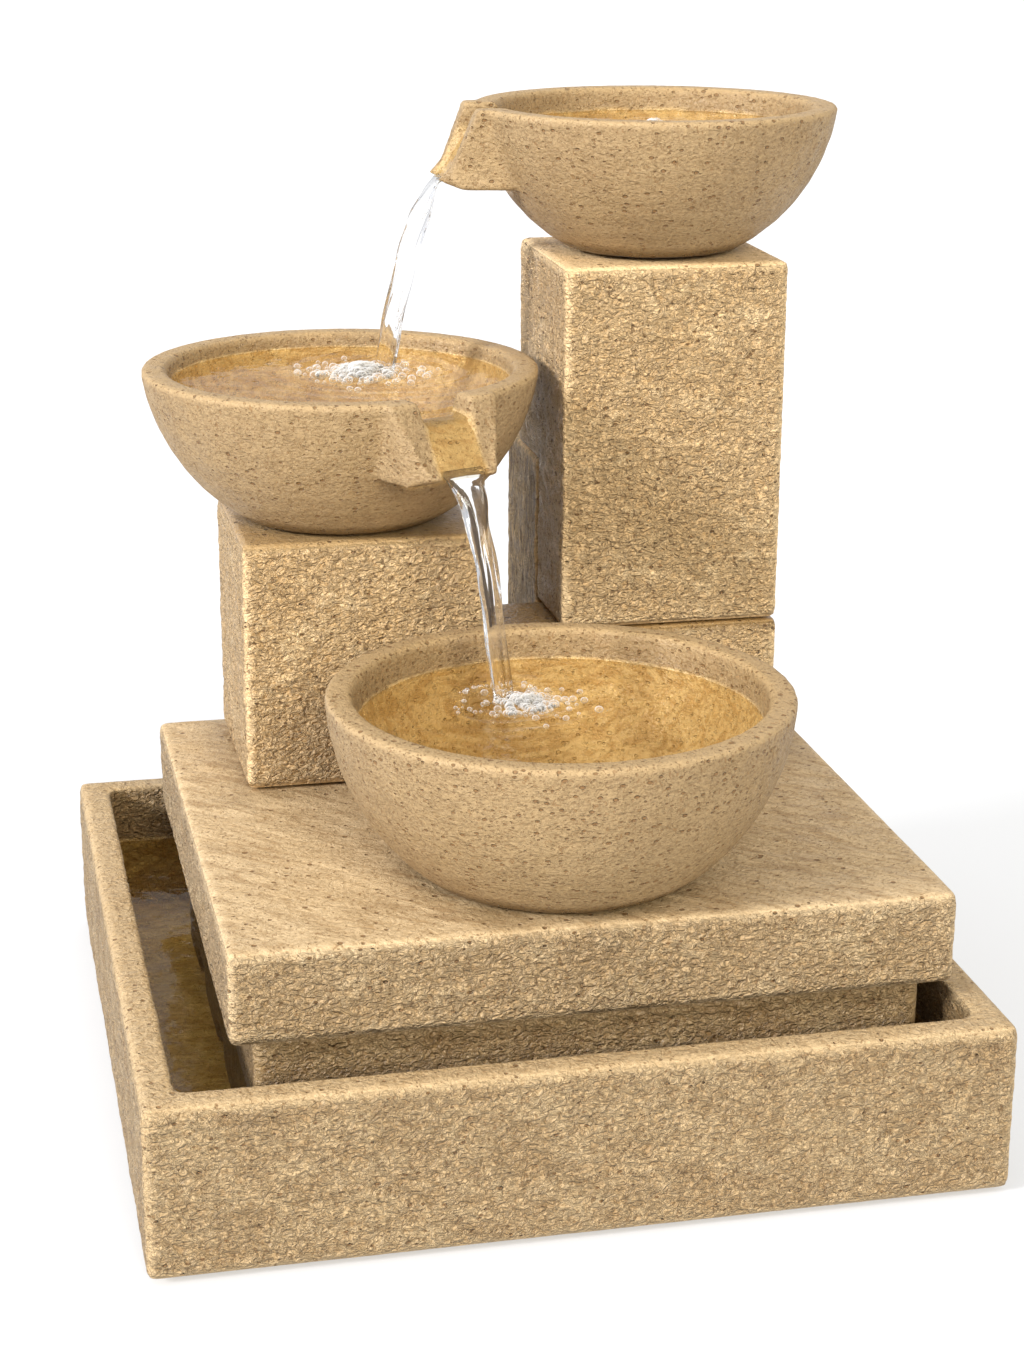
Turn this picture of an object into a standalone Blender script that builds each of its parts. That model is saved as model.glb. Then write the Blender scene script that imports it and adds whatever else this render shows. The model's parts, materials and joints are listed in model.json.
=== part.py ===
"""Tabletop water fountain: three cast bowls on two pillars over a square basin, with pump and plumbing.

Metres, +Z up. The origin is on the table under the middle of the basin, +X is the object's right and the
front looks along -Y. Castings are open shells, and touching pieces keep a gap of GAP between them.
"""

import bmesh
import bpy
from math import atan2, cos, pi, radians, sin, sqrt
from mathutils import Matrix, Vector

# ---------------------------------------------------------------- driving dimensions
GAP = 0.0003
CAST_WALL = 0.008

FOOT_RADIUS = 0.010
FOOT_PROUD = 0.0015
FOOT_INSET = 0.026

BASIN_WIDTH = 0.300
BASIN_DEPTH = 0.308
BASIN_TOP = 0.064
BASIN_WALL = 0.013
BASIN_FLOOR = 0.008
CORD_NOTCH_WIDTH = 0.010
CORD_NOTCH_DEPTH = 0.009

SLAB_CENTRE = (0.0084, -0.0091)
SLAB_WIDTH = 0.2538
SLAB_DEPTH = 0.2388
SLAB_TOP = 0.104
SLAB_THICKNESS = 0.034
PLINTH_INSET = 0.009
PLINTH_WALL = 0.006
INTAKE_WIDTH = 0.022
INTAKE_HEIGHT = 0.010

SHORT_PILLAR_CENTRE = (-0.0465, 0.0615)
SHORT_PILLAR_WIDTH = 0.093
SHORT_PILLAR_DEPTH = 0.0835
SHORT_PILLAR_TOP = 0.200

TALL_PILLAR_CENTRE = (0.0751, 0.0704)
TALL_PILLAR_WIDTH = 0.0878
TALL_PILLAR_DEPTH = 0.080
TALL_PILLAR_TOP = 0.297

LINK_TOP = 0.1565
LINK_DEPTH = 0.0448

COVER_TOP = 0.215
COVER_REAR_STEP = 0.019
COVER_WALL = 0.005
COVER_BOTTOM = 0.066
COVER_SCREW_Z = 0.086
COVER_SCREW_OFFSET = 0.030

BOWL_WALL = 0.010
BOWL_SEAT = 0.0012
RIM_ROUNDING = 0.0015
BOWL_STEPS = 44

# Each bowl: its centre, its rim's height and radius, the height it stands at, and how far the centre of
# its sphere is over the rim.
TOP_BOWL = dict(centre=TALL_PILLAR_CENTRE, rim_z=0.3525, radius=0.0698, seat_z=TALL_PILLAR_TOP, lift=0.008)
MIDDLE_BOWL = dict(centre=(-0.048, 0.063), rim_z=0.258, radius=0.0757, seat_z=SHORT_PILLAR_TOP, lift=0.0088)
LOWER_BOWL = dict(centre=(0.0066, -0.0713), rim_z=0.1682, radius=0.0823, seat_z=SLAB_TOP, lift=0.0025)
BOWL_HOLE_RADIUS = 0.0075
BOLT_HOLE_RADIUS = 0.0035

# Each spout: its bearing, the channel's depth, and the lip's section as (out from the rim, height over the
# rim, half width) corners, from the rim's inner edge over the ridge to the lip and back underneath.
SPOUT_CHANNEL_HALF = 0.0095
TOP_SPOUT = dict(
    angle=178.0, depth=0.0115,
    lip=(
        (-0.0075, 0.0, 0.0215), (0.0015, 0.0, 0.0200), (0.0105, -0.0215, 0.0145),
        (0.0158, -0.0265, 0.0125), (0.0060, -0.0300, 0.0185), (-0.0175, -0.0300, 0.0215),
    ),
)
MIDDLE_SPOUT = dict(
    angle=-69.5, depth=0.0085,
    lip=(
        (-0.0075, 0.0, 0.0235), (-0.0008, 0.0, 0.0226), (0.0092, -0.0205, 0.0155),
        (0.0146, -0.0255, 0.0130), (0.0040, -0.0292, 0.0190), (-0.0175, -0.0292, 0.0222),
    ),
)

PUMP_CENTRE = (0.0775, 0.0775)
PUMP_AXIS_Z = 0.0265
PUMP_LENGTH = 0.036
PUMP_SIDE = 0.025
VOLUTE_LENGTH = 0.010
INLET_COVER_LENGTH = 0.018
INLET_COVER_WALL = 0.0010
OUTLET_OFFSET_Y = 0.0075
SHAFT_RADIUS = 0.0010
SHAFT_BORE = 0.00108

HOSE_RADIUS = 0.006
HOSE_BORE = 0.0043
BARB_RADIUS = 0.0040

STONE = (0.62, 0.46, 0.28)
GREY_STONE = (0.50, 0.43, 0.35)
BLACK = (0.02, 0.02, 0.022)


# ---------------------------------------------------------------- materials and objects
def make_material(name, colour, roughness, metallic=0.0):
    material = bpy.data.materials.new(name)
    material.use_nodes = True
    shader = material.node_tree.nodes["Principled BSDF"]
    shader.inputs["Base Color"].default_value = (*colour, 1.0)
    shader.inputs["Roughness"].default_value = roughness
    shader.inputs["Metallic"].default_value = metallic
    return material


def clear_scene():
    for obj in list(bpy.data.objects):
        bpy.data.objects.remove(obj, do_unlink=True)


def add_object(name, bm, material=None, location=(0, 0, 0), rotation=(0, 0, 0)):
    """One named object from a bmesh about its own origin, its curved faces smooth."""
    bmesh.ops.recalc_face_normals(bm, faces=bm.faces)
    mesh = bpy.data.meshes.new(name)
    bm.to_mesh(mesh)
    bm.free()
    mesh.shade_smooth()
    mesh.set_sharp_from_angle(angle=radians(35))
    obj = bpy.data.objects.new(name, mesh)
    obj.location = location
    obj.rotation_euler = rotation
    bpy.context.scene.collection.objects.link(obj)
    if material:
        mesh.materials.append(material)
    return obj


def group(name, location, members):
    """An empty that carries some pieces, so that they move as one body."""
    empty = bpy.data.objects.new(name, None)
    empty.location = location
    empty.empty_display_size = 0.02
    bpy.context.scene.collection.objects.link(empty)
    for member in members:
        member.parent = empty
        member.matrix_parent_inverse = Matrix.Translation(location).inverted()
    return empty


def combine(target, other, operation):
    """A Boolean on target with another object, which then only helps and isn't a part."""
    modifier = target.modifiers.new(f"{operation.lower()}_{other.name}", "BOOLEAN")
    modifier.operation = operation
    modifier.solver = "EXACT"
    modifier.object = other
    other.hide_render = True
    other.display_type = "WIRE"
    return target


def cut(target, *cutters):
    for cutter in cutters:
        combine(target, cutter, "DIFFERENCE")
    return target


def join(target, *others):
    for other in others:
        combine(target, other, "UNION")
    return target


def bevel(obj, width, segments=2):
    modifier = obj.modifiers.new("rounded_edges", "BEVEL")
    modifier.width = width
    modifier.segments = segments
    modifier.limit_method = "ANGLE"
    modifier.angle_limit = radians(40)
    return obj


# ---------------------------------------------------------------- shapes
AXIS_TURNS = {"X": (0, pi / 2, 0), "Y": (-pi / 2, 0, 0), "Z": (0, 0, 0)}


def box(name, low, high, material=None):
    """A block between two corners."""
    low, high = Vector(low), Vector(high)
    bm = bmesh.new()
    bmesh.ops.create_cube(bm, size=1.0)
    bmesh.ops.scale(bm, vec=high - low, verts=bm.verts)
    return add_object(name, bm, material, (low + high) / 2)


def block(name, centre, width, depth, low_z, high_z, material=None):
    x, y = centre
    low = (x - width / 2, y - depth / 2, low_z)
    high = (x + width / 2, y + depth / 2, high_z)
    return box(name, low, high, material)


def cylinder(name, base, radius, height, material=None, axis="Z", steps=24):
    """A round bar that starts at base and runs along +axis."""
    bm = bmesh.new()
    bmesh.ops.create_cone(
        bm, cap_ends=True, segments=steps, radius1=radius, radius2=radius, depth=height,
        matrix=Matrix.Translation((0, 0, height / 2)),
    )
    return add_object(name, bm, material, base, AXIS_TURNS[axis])


def turned(name, base, profile, material=None, axis="Z", steps=20):
    """A shape turned about an axis through base, from (radius, height) points going round its section."""
    bm = bmesh.new()
    points = [bm.verts.new((radius, 0, height)) for radius, height in profile]
    edges = [bm.edges.new((a, b)) for a, b in zip(points, points[1:])]
    if profile[0][0] > 0 or profile[-1][0] > 0:
        edges.append(bm.edges.new((points[-1], points[0])))
    bmesh.ops.spin(bm, geom=points + edges, cent=(0, 0, 0), axis=(0, 0, 1), angle=2 * pi, steps=steps)
    bmesh.ops.remove_doubles(bm, verts=bm.verts, dist=1e-6)
    return add_object(name, bm, material, base, AXIS_TURNS[axis])


def ring(name, base, outer, inner, height, material=None, axis="Z", steps=20):
    profile = [(inner, 0), (outer, 0), (outer, height), (inner, height)]
    return turned(name, base, profile, material, axis, steps)


def prism(name, outline, low_x, high_x, material=None):
    """A (y, z) outline extruded along X."""
    bm = bmesh.new()
    face = bm.faces.new([bm.verts.new((low_x, y, z)) for y, z in outline])
    moved = bmesh.ops.extrude_face_region(bm, geom=[face])["geom"]
    shift = Vector((high_x - low_x, 0, 0))
    bmesh.ops.translate(bm, vec=shift, verts=[v for v in moved if isinstance(v, bmesh.types.BMVert)])
    return add_object(name, bm, material)


def hexagon(name, base, across_flats, height, material=None):
    return cylinder(name, base, across_flats / sqrt(3), height, material, steps=6)


def smooth_route(points, samples):
    """Points along a Catmull-Rom curve through the given ones, and a tangent at each."""
    padded = [points[0] * 2 - points[1], *points, points[-1] * 2 - points[-2]]
    route = []
    for i in range(len(points) - 1):
        a, b, c, d = padded[i:i + 4]
        for k in range(samples):
            t = k / samples
            squared, cubed = 2 * a - 5 * b + 4 * c - d, 3 * b - a - 3 * c + d
            route.append(0.5 * (2 * b + (c - a) * t + squared * t**2 + cubed * t**3))
    return [*route, points[-1]]


def hose(name, points, outer, bore, material, samples=3, sides=12):
    """An open-ended tube along a route."""
    route = smooth_route([Vector(p) for p in points], samples)
    bm = bmesh.new()
    rings = []
    for i, point in enumerate(route):
        along = (route[min(i + 1, len(route) - 1)] - route[max(i - 1, 0)]).normalized()
        across = along.cross(Vector((0, 1, 0))).normalized()
        other = along.cross(across)
        turns = [2 * pi * k / sides for k in range(sides)]
        for radius in (outer, bore):
            rings.append([bm.verts.new(point + radius * (cos(a) * across + sin(a) * other)) for a in turns])
    outer_rings, bore_rings = rings[0::2], rings[1::2]
    spans = list(zip(outer_rings, outer_rings[1:])) + list(zip(bore_rings, bore_rings[1:]))
    spans += [(outer_rings[0], bore_rings[0]), (outer_rings[-1], bore_rings[-1])]
    for first, second in spans:
        for k in range(sides):
            n = (k + 1) % sides
            bm.faces.new((first[k], first[n], second[n], second[k]))
    return add_object(name, bm, material)


# ---------------------------------------------------------------- castings under the bowls
def slab_box(inset=0.0):
    """The slab's outline in plan: low x, high x, low y, high y."""
    x, y = SLAB_CENTRE
    half_x, half_y = SLAB_WIDTH / 2 - inset, SLAB_DEPTH / 2 - inset
    return x - half_x, x + half_x, y - half_y, y + half_y


def make_basin(stone):
    basin = block("basin", (0, 0), BASIN_WIDTH, BASIN_DEPTH, FOOT_PROUD, BASIN_TOP, stone)
    bevel(basin, 0.003)
    inside_width, inside_depth = BASIN_WIDTH - 2 * BASIN_WALL, BASIN_DEPTH - 2 * BASIN_WALL
    floor_z = FOOT_PROUD + BASIN_FLOOR
    water_space = block("basin_inside", (0, 0), inside_width, inside_depth, floor_z, BASIN_TOP + 0.02)
    bevel(water_space, 0.004)
    notch_x, rear_y = TALL_PILLAR_CENTRE[0], BASIN_DEPTH / 2
    notch = box(
        "cord_notch",
        (notch_x - CORD_NOTCH_WIDTH / 2, rear_y - BASIN_WALL - 0.01, BASIN_TOP - CORD_NOTCH_DEPTH),
        (notch_x + CORD_NOTCH_WIDTH / 2, rear_y + 0.01, BASIN_TOP + 0.01),
    )
    return cut(basin, water_space, notch)


def make_feet(rubber):
    x, y = BASIN_WIDTH / 2 - FOOT_INSET, BASIN_DEPTH / 2 - FOOT_INSET
    for end, foot_y in (("front", -y), ("rear", y)):
        for side, foot_x in (("left", -x), ("right", x)):
            cylinder(f"foot_{end}_{side}", (foot_x, foot_y, 0), FOOT_RADIUS, FOOT_PROUD - GAP, rubber)


def make_slab(stone):
    """The platform's top: a tray upside down, with holes for the hose, the drain and the cover's screws."""
    low_x, high_x, low_y, high_y = slab_box()
    base_z = SLAB_TOP - SLAB_THICKNESS
    slab = box("platform_slab", (low_x, low_y, base_z), (high_x, high_y, SLAB_TOP), stone)
    bevel(slab, 0.003)
    low_x, high_x, low_y, high_y = slab_box(PLINTH_INSET + PLINTH_WALL)
    hollow = box("slab_hollow", (low_x, low_y, base_z - 0.01), (high_x, high_y, SLAB_TOP - CAST_WALL))
    hose_x, hose_y = outlet_place()
    hose_hole = cylinder("slab_hose_hole", (hose_x, hose_y, SLAB_TOP - 0.02), HOSE_RADIUS + 0.002, 0.04)
    drain_place = (*LOWER_BOWL["centre"], SLAB_TOP - 0.02)
    drain_hole = cylinder("slab_drain_hole", drain_place, BOWL_HOLE_RADIUS, 0.04)
    screw_y = slab_box()[3] - 0.03
    screws = enumerate(cover_screw_places())
    screw_holes = [screw_hole(f"slab_screw_hole_{i}", x, screw_y) for i, x in screws]
    return cut(slab, hollow, hose_hole, drain_hole, *screw_holes)


def make_plinth(stone):
    """The frame the slab stands on, with water intakes along its lower edge."""
    low_x, high_x, low_y, high_y = slab_box(PLINTH_INSET)
    low_z, high_z = FOOT_PROUD + BASIN_FLOOR + GAP, SLAB_TOP - SLAB_THICKNESS - GAP
    plinth = box("plinth_frame", (low_x, low_y, low_z), (high_x, high_y, high_z), stone)
    bevel(plinth, 0.0025)
    in_low_x, in_high_x, in_low_y, in_high_y = slab_box(PLINTH_INSET + PLINTH_WALL)
    inside_low = (in_low_x, in_low_y, low_z - 0.01)
    cut(plinth, box("plinth_inside", inside_low, (in_high_x, in_high_y, high_z + 0.01)))
    base_z, top_z, half = low_z - 0.01, low_z + INTAKE_HEIGHT, INTAKE_WIDTH / 2
    for i, share in enumerate((0.2, 0.5, 0.8)):
        x = low_x + share * (high_x - low_x)
        y = low_y + share * (high_y - low_y)
        along_y = box(f"intake_y_{i}", (x - half, low_y - 0.01, base_z), (x + half, high_y + 0.01, top_z))
        along_x = box(f"intake_x_{i}", (low_x - 0.01, y - half, base_z), (high_x + 0.01, y + half, top_z))
        cut(plinth, along_y, along_x)
    return plinth


def make_short_pillar(stone):
    centre, width, depth = SHORT_PILLAR_CENTRE, SHORT_PILLAR_WIDTH, SHORT_PILLAR_DEPTH
    pillar = block("short_pillar", centre, width, depth, SLAB_TOP + GAP, SHORT_PILLAR_TOP, stone)
    bevel(pillar, 0.003)
    inside = block(
        "short_pillar_inside", centre, width - 2 * CAST_WALL, depth - 2 * CAST_WALL,
        SLAB_TOP - 0.01, SHORT_PILLAR_TOP - CAST_WALL,
    )
    hole_place = (*MIDDLE_BOWL["centre"], SHORT_PILLAR_TOP - 0.02)
    return cut(pillar, inside, cylinder("short_pillar_hole", hole_place, BOLT_HOLE_RADIUS, 0.04))


def tall_front_y():
    return TALL_PILLAR_CENTRE[1] - TALL_PILLAR_DEPTH / 2


def tall_pillar_sides():
    return [TALL_PILLAR_CENTRE[0] + side * TALL_PILLAR_WIDTH / 2 for side in (-1, 1)]


def make_link_block(stone):
    """The low block that the tall pillar's front stands on, between it and the short pillar."""
    low_x = SHORT_PILLAR_CENTRE[0] + SHORT_PILLAR_WIDTH / 2 + 0.001
    high_x = tall_pillar_sides()[1]
    low_y, high_y = tall_front_y(), tall_front_y() + LINK_DEPTH
    link = box("link_block", (low_x, low_y, SLAB_TOP + GAP), (high_x, high_y, LINK_TOP), stone)
    bevel(link, 0.002)
    inside = box(
        "link_inside", (low_x + CAST_WALL, low_y + CAST_WALL, SLAB_TOP - 0.01),
        (high_x - CAST_WALL, high_y - CAST_WALL, LINK_TOP - CAST_WALL),
    )
    return cut(link, inside)


def make_tall_pillar(stone):
    """The tall pillar, with its lower back left open for the rear cover."""
    centre, width, depth = TALL_PILLAR_CENTRE, TALL_PILLAR_WIDTH, TALL_PILLAR_DEPTH
    pillar = block("tall_pillar", centre, width, depth, LINK_TOP + GAP, TALL_PILLAR_TOP, stone)
    bevel(pillar, 0.003)
    inside = block(
        "tall_pillar_inside", centre, width - 2 * CAST_WALL, depth - 2 * CAST_WALL,
        LINK_TOP - 0.01, TALL_PILLAR_TOP - CAST_WALL,
    )
    low_x, high_x = tall_pillar_sides()
    step_y, base_z = tall_front_y() + LINK_DEPTH, LINK_TOP - 0.01
    step_high = (high_x + 0.01, step_y + 0.1, COVER_TOP)
    back_step = box("tall_pillar_step", (low_x - 0.01, step_y, base_z), step_high)
    hole_place = (*centre, TALL_PILLAR_TOP - 0.02)
    fitting_hole = cylinder("tall_pillar_hole", hole_place, BOWL_HOLE_RADIUS, 0.04)
    return cut(pillar, inside, back_step, fitting_hole)


# ---------------------------------------------------------------- rear service cover
def cover_screw_places():
    return [TALL_PILLAR_CENTRE[0] + side * COVER_SCREW_OFFSET for side in (-1, 1)]


def screw_hole(name, x, start_y):
    return cylinder(name, (x, start_y, COVER_SCREW_Z), 0.0022, 0.05, axis="Y", steps=16)


def make_rear_cover(stone, steel):
    """The shell behind the tall pillar that hides the hose. It steps down behind the slab."""
    low_x, high_x = tall_pillar_sides()
    front_y = tall_front_y() + LINK_DEPTH + GAP
    slab_rear_y = slab_box()[3] + GAP
    back_y = TALL_PILLAR_CENTRE[1] + TALL_PILLAR_DEPTH / 2 + COVER_REAR_STEP
    top_z, step_z = COVER_TOP - GAP, SLAB_TOP + GAP
    outline = [
        (front_y, step_z), (slab_rear_y, step_z), (slab_rear_y, COVER_BOTTOM),
        (back_y, COVER_BOTTOM), (back_y, top_z), (front_y, top_z),
    ]
    cover = prism("rear_cover", outline, low_x, high_x, stone)
    bevel(cover, 0.0015)
    cut(cover, cover_hollow(front_y, slab_rear_y, back_y), cover_way_up(front_y))
    for i, x in enumerate(cover_screw_places()):
        boss_length = back_y - slab_rear_y - 0.002
        boss_place = (x, slab_rear_y, COVER_SCREW_Z)
        join(cover, cylinder(f"cover_boss_{i}", boss_place, 0.005, boss_length, axis="Y", steps=16))
        cut(cover, screw_hole(f"cover_screw_hole_{i}", x, slab_rear_y - 0.01))
    for side, x in zip(("left", "right"), cover_screw_places()):
        make_cover_screw(f"cover_screw_{side}", x, back_y, steel)
    return cover


def cover_hollow(front_y, slab_rear_y, back_y):
    """The space inside the cover, open to the front and below."""
    low_x, high_x = tall_pillar_sides()
    inner_front, inner_back = slab_rear_y - 0.002, back_y - COVER_WALL
    inner_top = COVER_TOP - GAP - COVER_WALL
    floor_z, base_z = SLAB_TOP + GAP - 0.002, COVER_BOTTOM - 0.01
    hollow = [
        (front_y - 0.01, floor_z), (inner_front, floor_z), (inner_front, base_z),
        (inner_back, base_z), (inner_back, inner_top), (front_y - 0.01, inner_top),
    ]
    return prism("rear_cover_inside", hollow, low_x + COVER_WALL, high_x - COVER_WALL)


def cover_way_up(front_y):
    """The opening in the cover's top through which the hose goes up into the pillar."""
    low_x, high_x = tall_pillar_sides()
    top_z = COVER_TOP - GAP
    pillar_back = TALL_PILLAR_CENTRE[1] + TALL_PILLAR_DEPTH / 2 - CAST_WALL
    low = (low_x + CAST_WALL, front_y - 0.01, top_z - 0.02)
    return box("rear_cover_way_up", low, (high_x - CAST_WALL, pillar_back, top_z + 0.01))


def make_cover_screw(name, x, back_y, steel):
    """A pan-head screw through the cover into the slab's rear edge."""
    z = COVER_SCREW_Z
    shank = cylinder(name, (x, back_y - 0.026, z), 0.0018, 0.0275, steel, axis="Y", steps=12)
    head = cylinder(f"{name}_head", (x, back_y + GAP, z), 0.0038, 0.0022, axis="Y", steps=16)
    slot_low = (x - 0.005, back_y + 0.0018, z - 0.0005)
    slot = box(f"{name}_slot", slot_low, (x + 0.005, back_y + 0.004, z + 0.0005))
    join(shank, head)
    return cut(shank, slot)


# ---------------------------------------------------------------- bowls
def sphere_radius(bowl):
    return sqrt(bowl["radius"]**2 + bowl["lift"]**2)


def bowl_floor_z(bowl):
    """The height of the bowl's inner floor."""
    return bowl["seat_z"] + BOWL_SEAT + BOWL_WALL


def arc_points(centre_z, radius, low_z, high_z, count):
    """(radius, height) points on a sphere about a point of the axis, from low_z up to high_z."""
    low, high = (atan2(z - centre_z, sqrt(radius**2 - (z - centre_z)**2)) for z in (low_z, high_z))
    angles = [low + (high - low) * i / (count - 1) for i in range(count)]
    return [(radius * cos(a), centre_z + radius * sin(a)) for a in angles]


def make_bowl(name, bowl, stone, hole_radius):
    """A turned bowl: part of a sphere outside, another inside, a flat foot and a rounded rim."""
    centre_z = bowl["rim_z"] + bowl["lift"]
    outer, inner = sphere_radius(bowl), sphere_radius(bowl) - BOWL_WALL
    rim, foot_z, floor_z = bowl["rim_z"], bowl["seat_z"] + BOWL_SEAT, bowl_floor_z(bowl)
    outside = arc_points(centre_z, outer, foot_z, rim - RIM_ROUNDING, 8)
    inside = arc_points(centre_z, inner, floor_z, rim - RIM_ROUNDING, 7)
    flat_out, flat_in = bowl["radius"] - 0.7 * RIM_ROUNDING, bowl["radius"] - BOWL_WALL + 0.7 * RIM_ROUNDING
    rim_points = [(flat_out, rim), (flat_in, rim)]
    profile = [(0, foot_z), *outside, *rim_points, *reversed(inside), (0, floor_z)]
    body = turned(name, (*bowl["centre"], 0), profile, stone, steps=BOWL_STEPS)
    hole = cylinder(f"{name}_hole", (*bowl["centre"], foot_z - 0.02), hole_radius, 0.04)
    return cut(body, hole)


def spout_piece(name, bowl, angle, sections):
    """A solid from (out, height, half width) corners about the spout's own upright plane."""
    bm = bmesh.new()
    sides = [[bm.verts.new((out, side * half, z)) for out, z, half in sections] for side in (-1, 1)]
    bm.faces.new(sides[0])
    bm.faces.new(sides[1])
    for i in range(len(sections)):
        n = (i + 1) % len(sections)
        bm.faces.new((sides[0][i], sides[0][n], sides[1][n], sides[1][i]))
    bmesh.ops.triangulate(bm, faces=bm.faces)
    place = (*bowl["centre"], bowl["rim_z"])
    return add_object(name, bm, location=place, rotation=(0, 0, radians(angle)))


def add_spout(body, bowl, spout):
    """A cast lip with sloping cheeks on the rim, and the channel through it."""
    r, half, depth = bowl["radius"], SPOUT_CHANNEL_HALF, spout["depth"]
    sections = [(r + out, z, half_width) for out, z, half_width in spout["lip"]]
    lip = spout_piece(f"{body.name}_lip", bowl, spout["angle"], sections)
    channel = spout_piece(f"{body.name}_channel", bowl, spout["angle"], [
        (r - 0.022, 0.010, half + 0.002), (r - 0.022, -depth, half), (r + 0.0015, -depth, half),
        (r + 0.0225, -0.0400, half), (r + 0.0350, -0.0400, half), (r + 0.0350, 0.010, half + 0.002),
    ])
    join(body, lip)
    return cut(body, channel)


def make_bowls(stone, silicone):
    top = make_bowl("top_bowl", TOP_BOWL, stone, BOWL_HOLE_RADIUS)
    add_spout(top, TOP_BOWL, TOP_SPOUT)
    middle = make_bowl("middle_bowl", MIDDLE_BOWL, stone, BOLT_HOLE_RADIUS)
    add_spout(middle, MIDDLE_BOWL, MIDDLE_SPOUT)
    make_bowl("lower_bowl", LOWER_BOWL, stone, BOWL_HOLE_RADIUS)
    for name, bowl in (("top", TOP_BOWL), ("middle", MIDDLE_BOWL), ("lower", LOWER_BOWL)):
        base = (*bowl["centre"], bowl["seat_z"] + GAP)
        ring(f"{name}_bowl_seat", base, 0.026, 0.020, BOWL_SEAT - 2 * GAP, silicone, steps=32)


# ---------------------------------------------------------------- fittings in the bowls' floors
def make_through_fitting(prefix, bowl, wall, tail, barbed, plastic, rubber):
    """A flanged tube through a bowl's floor and the casting under it, with a gasket and a nut below."""
    x, y = bowl["centre"]
    floor_z = bowl_floor_z(bowl)
    gasket_top = floor_z + 0.0018
    flange_z = gasket_top + GAP
    under_z = bowl["seat_z"] - wall
    end_z = under_z - tail
    end_radius = BARB_RADIUS if barbed else 0.0060
    step_z = under_z - 0.009
    top_z = flange_z + 0.0090
    profile = [
        (0.0032, end_z), (end_radius, end_z), (end_radius, step_z), (0.0062, step_z), (0.0062, flange_z),
        (0.0110, flange_z), (0.0105, flange_z + 0.0025), (0.0060, flange_z + 0.0040), (0.0050, top_z),
        (0.0032, top_z),
    ]
    turned(f"{prefix}_fitting", (x, y, 0), profile, plastic)
    ring(f"{prefix}_gasket", (x, y, floor_z + GAP), 0.0115, 0.0066, 0.0018 - GAP, rubber)
    nut = hexagon(f"{prefix}_nut", (x, y, under_z - GAP - 0.006), 0.020, 0.006, plastic)
    cut(nut, cylinder(f"{prefix}_nut_bore", (x, y, under_z - 0.02), 0.0066, 0.04))


def make_drain_strainer(plastic):
    """A slotted cap that sits on the drain fitting and keeps grit out of it."""
    x, y = LOWER_BOWL["centre"]
    base_z = bowl_floor_z(LOWER_BOWL) + 0.0018 + GAP + 0.0090 + GAP
    cap = turned("drain_strainer", (x, y, base_z), [
        (0.0, 0.0), (0.0070, 0.0), (0.0070, -0.0040), (0.0082, -0.0040), (0.0082, 0.0008),
        (0.0060, 0.0025), (0.0, 0.0032),
    ], plastic)
    for i in range(3):
        slot = box(f"strainer_slot_{i}", (-0.012, -0.0007, -0.003), (0.012, 0.0007, -0.0008))
        slot.location = (x, y, base_z - 0.0019)
        slot.rotation_euler = (0, 0, i * pi / 3)
        cut(cap, slot)
    return cap


def make_middle_bolt(steel, rubber):
    """The bolt that holds the middle bowl to its pillar, with its seal, washer and nut."""
    x, y = MIDDLE_BOWL["centre"]
    floor_z = bowl_floor_z(MIDDLE_BOWL)
    head_z = floor_z + 0.0015 + 2 * GAP
    under_z = SHORT_PILLAR_TOP - CAST_WALL
    end_z = under_z - 0.012
    turned("middle_bowl_bolt", (x, y, 0), [
        (0, end_z), (0.0028, end_z), (0.0028, head_z), (0.0070, head_z), (0.0060, head_z + 0.0025),
        (0, head_z + 0.0035),
    ], steel)
    ring("middle_bolt_seal", (x, y, floor_z + GAP), 0.0080, 0.0032, 0.0015, rubber)
    ring("middle_bolt_washer", (x, y, under_z - GAP - 0.0012), 0.0085, 0.0032, 0.0012, steel)
    nut = hexagon("middle_bolt_nut", (x, y, under_z - 2 * GAP - 0.0012 - 0.005), 0.010, 0.005, steel)
    cut(nut, cylinder("middle_nut_bore", (x, y, under_z - 0.03), 0.0032, 0.04))


# ---------------------------------------------------------------- pump
def outlet_place():
    """Where the pump's outlet stands, in plan."""
    volute_x = PUMP_CENTRE[0] - PUMP_LENGTH / 2 - VOLUTE_LENGTH / 2
    return volute_x, PUMP_CENTRE[1] + OUTLET_OFFSET_Y


def make_pump(plastic, grey_plastic, rubber, ceramic, magnet):
    """A small submersible pump with its rotor on a fixed ceramic shaft and a slotted inlet cover."""
    x, y = PUMP_CENTRE
    front_x = x - PUMP_LENGTH / 2
    volute_x = front_x - VOLUTE_LENGTH
    make_pump_body(plastic, rubber)
    make_rotor(front_x - 0.001, volute_x, grey_plastic, rubber, ceramic, magnet)
    make_volute_cover(volute_x, plastic, rubber)
    make_inlet_cover(volute_x - GAP, plastic, grey_plastic)
    make_suction_cups(x, y, PUMP_AXIS_Z - PUMP_SIDE / 2, rubber)


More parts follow.
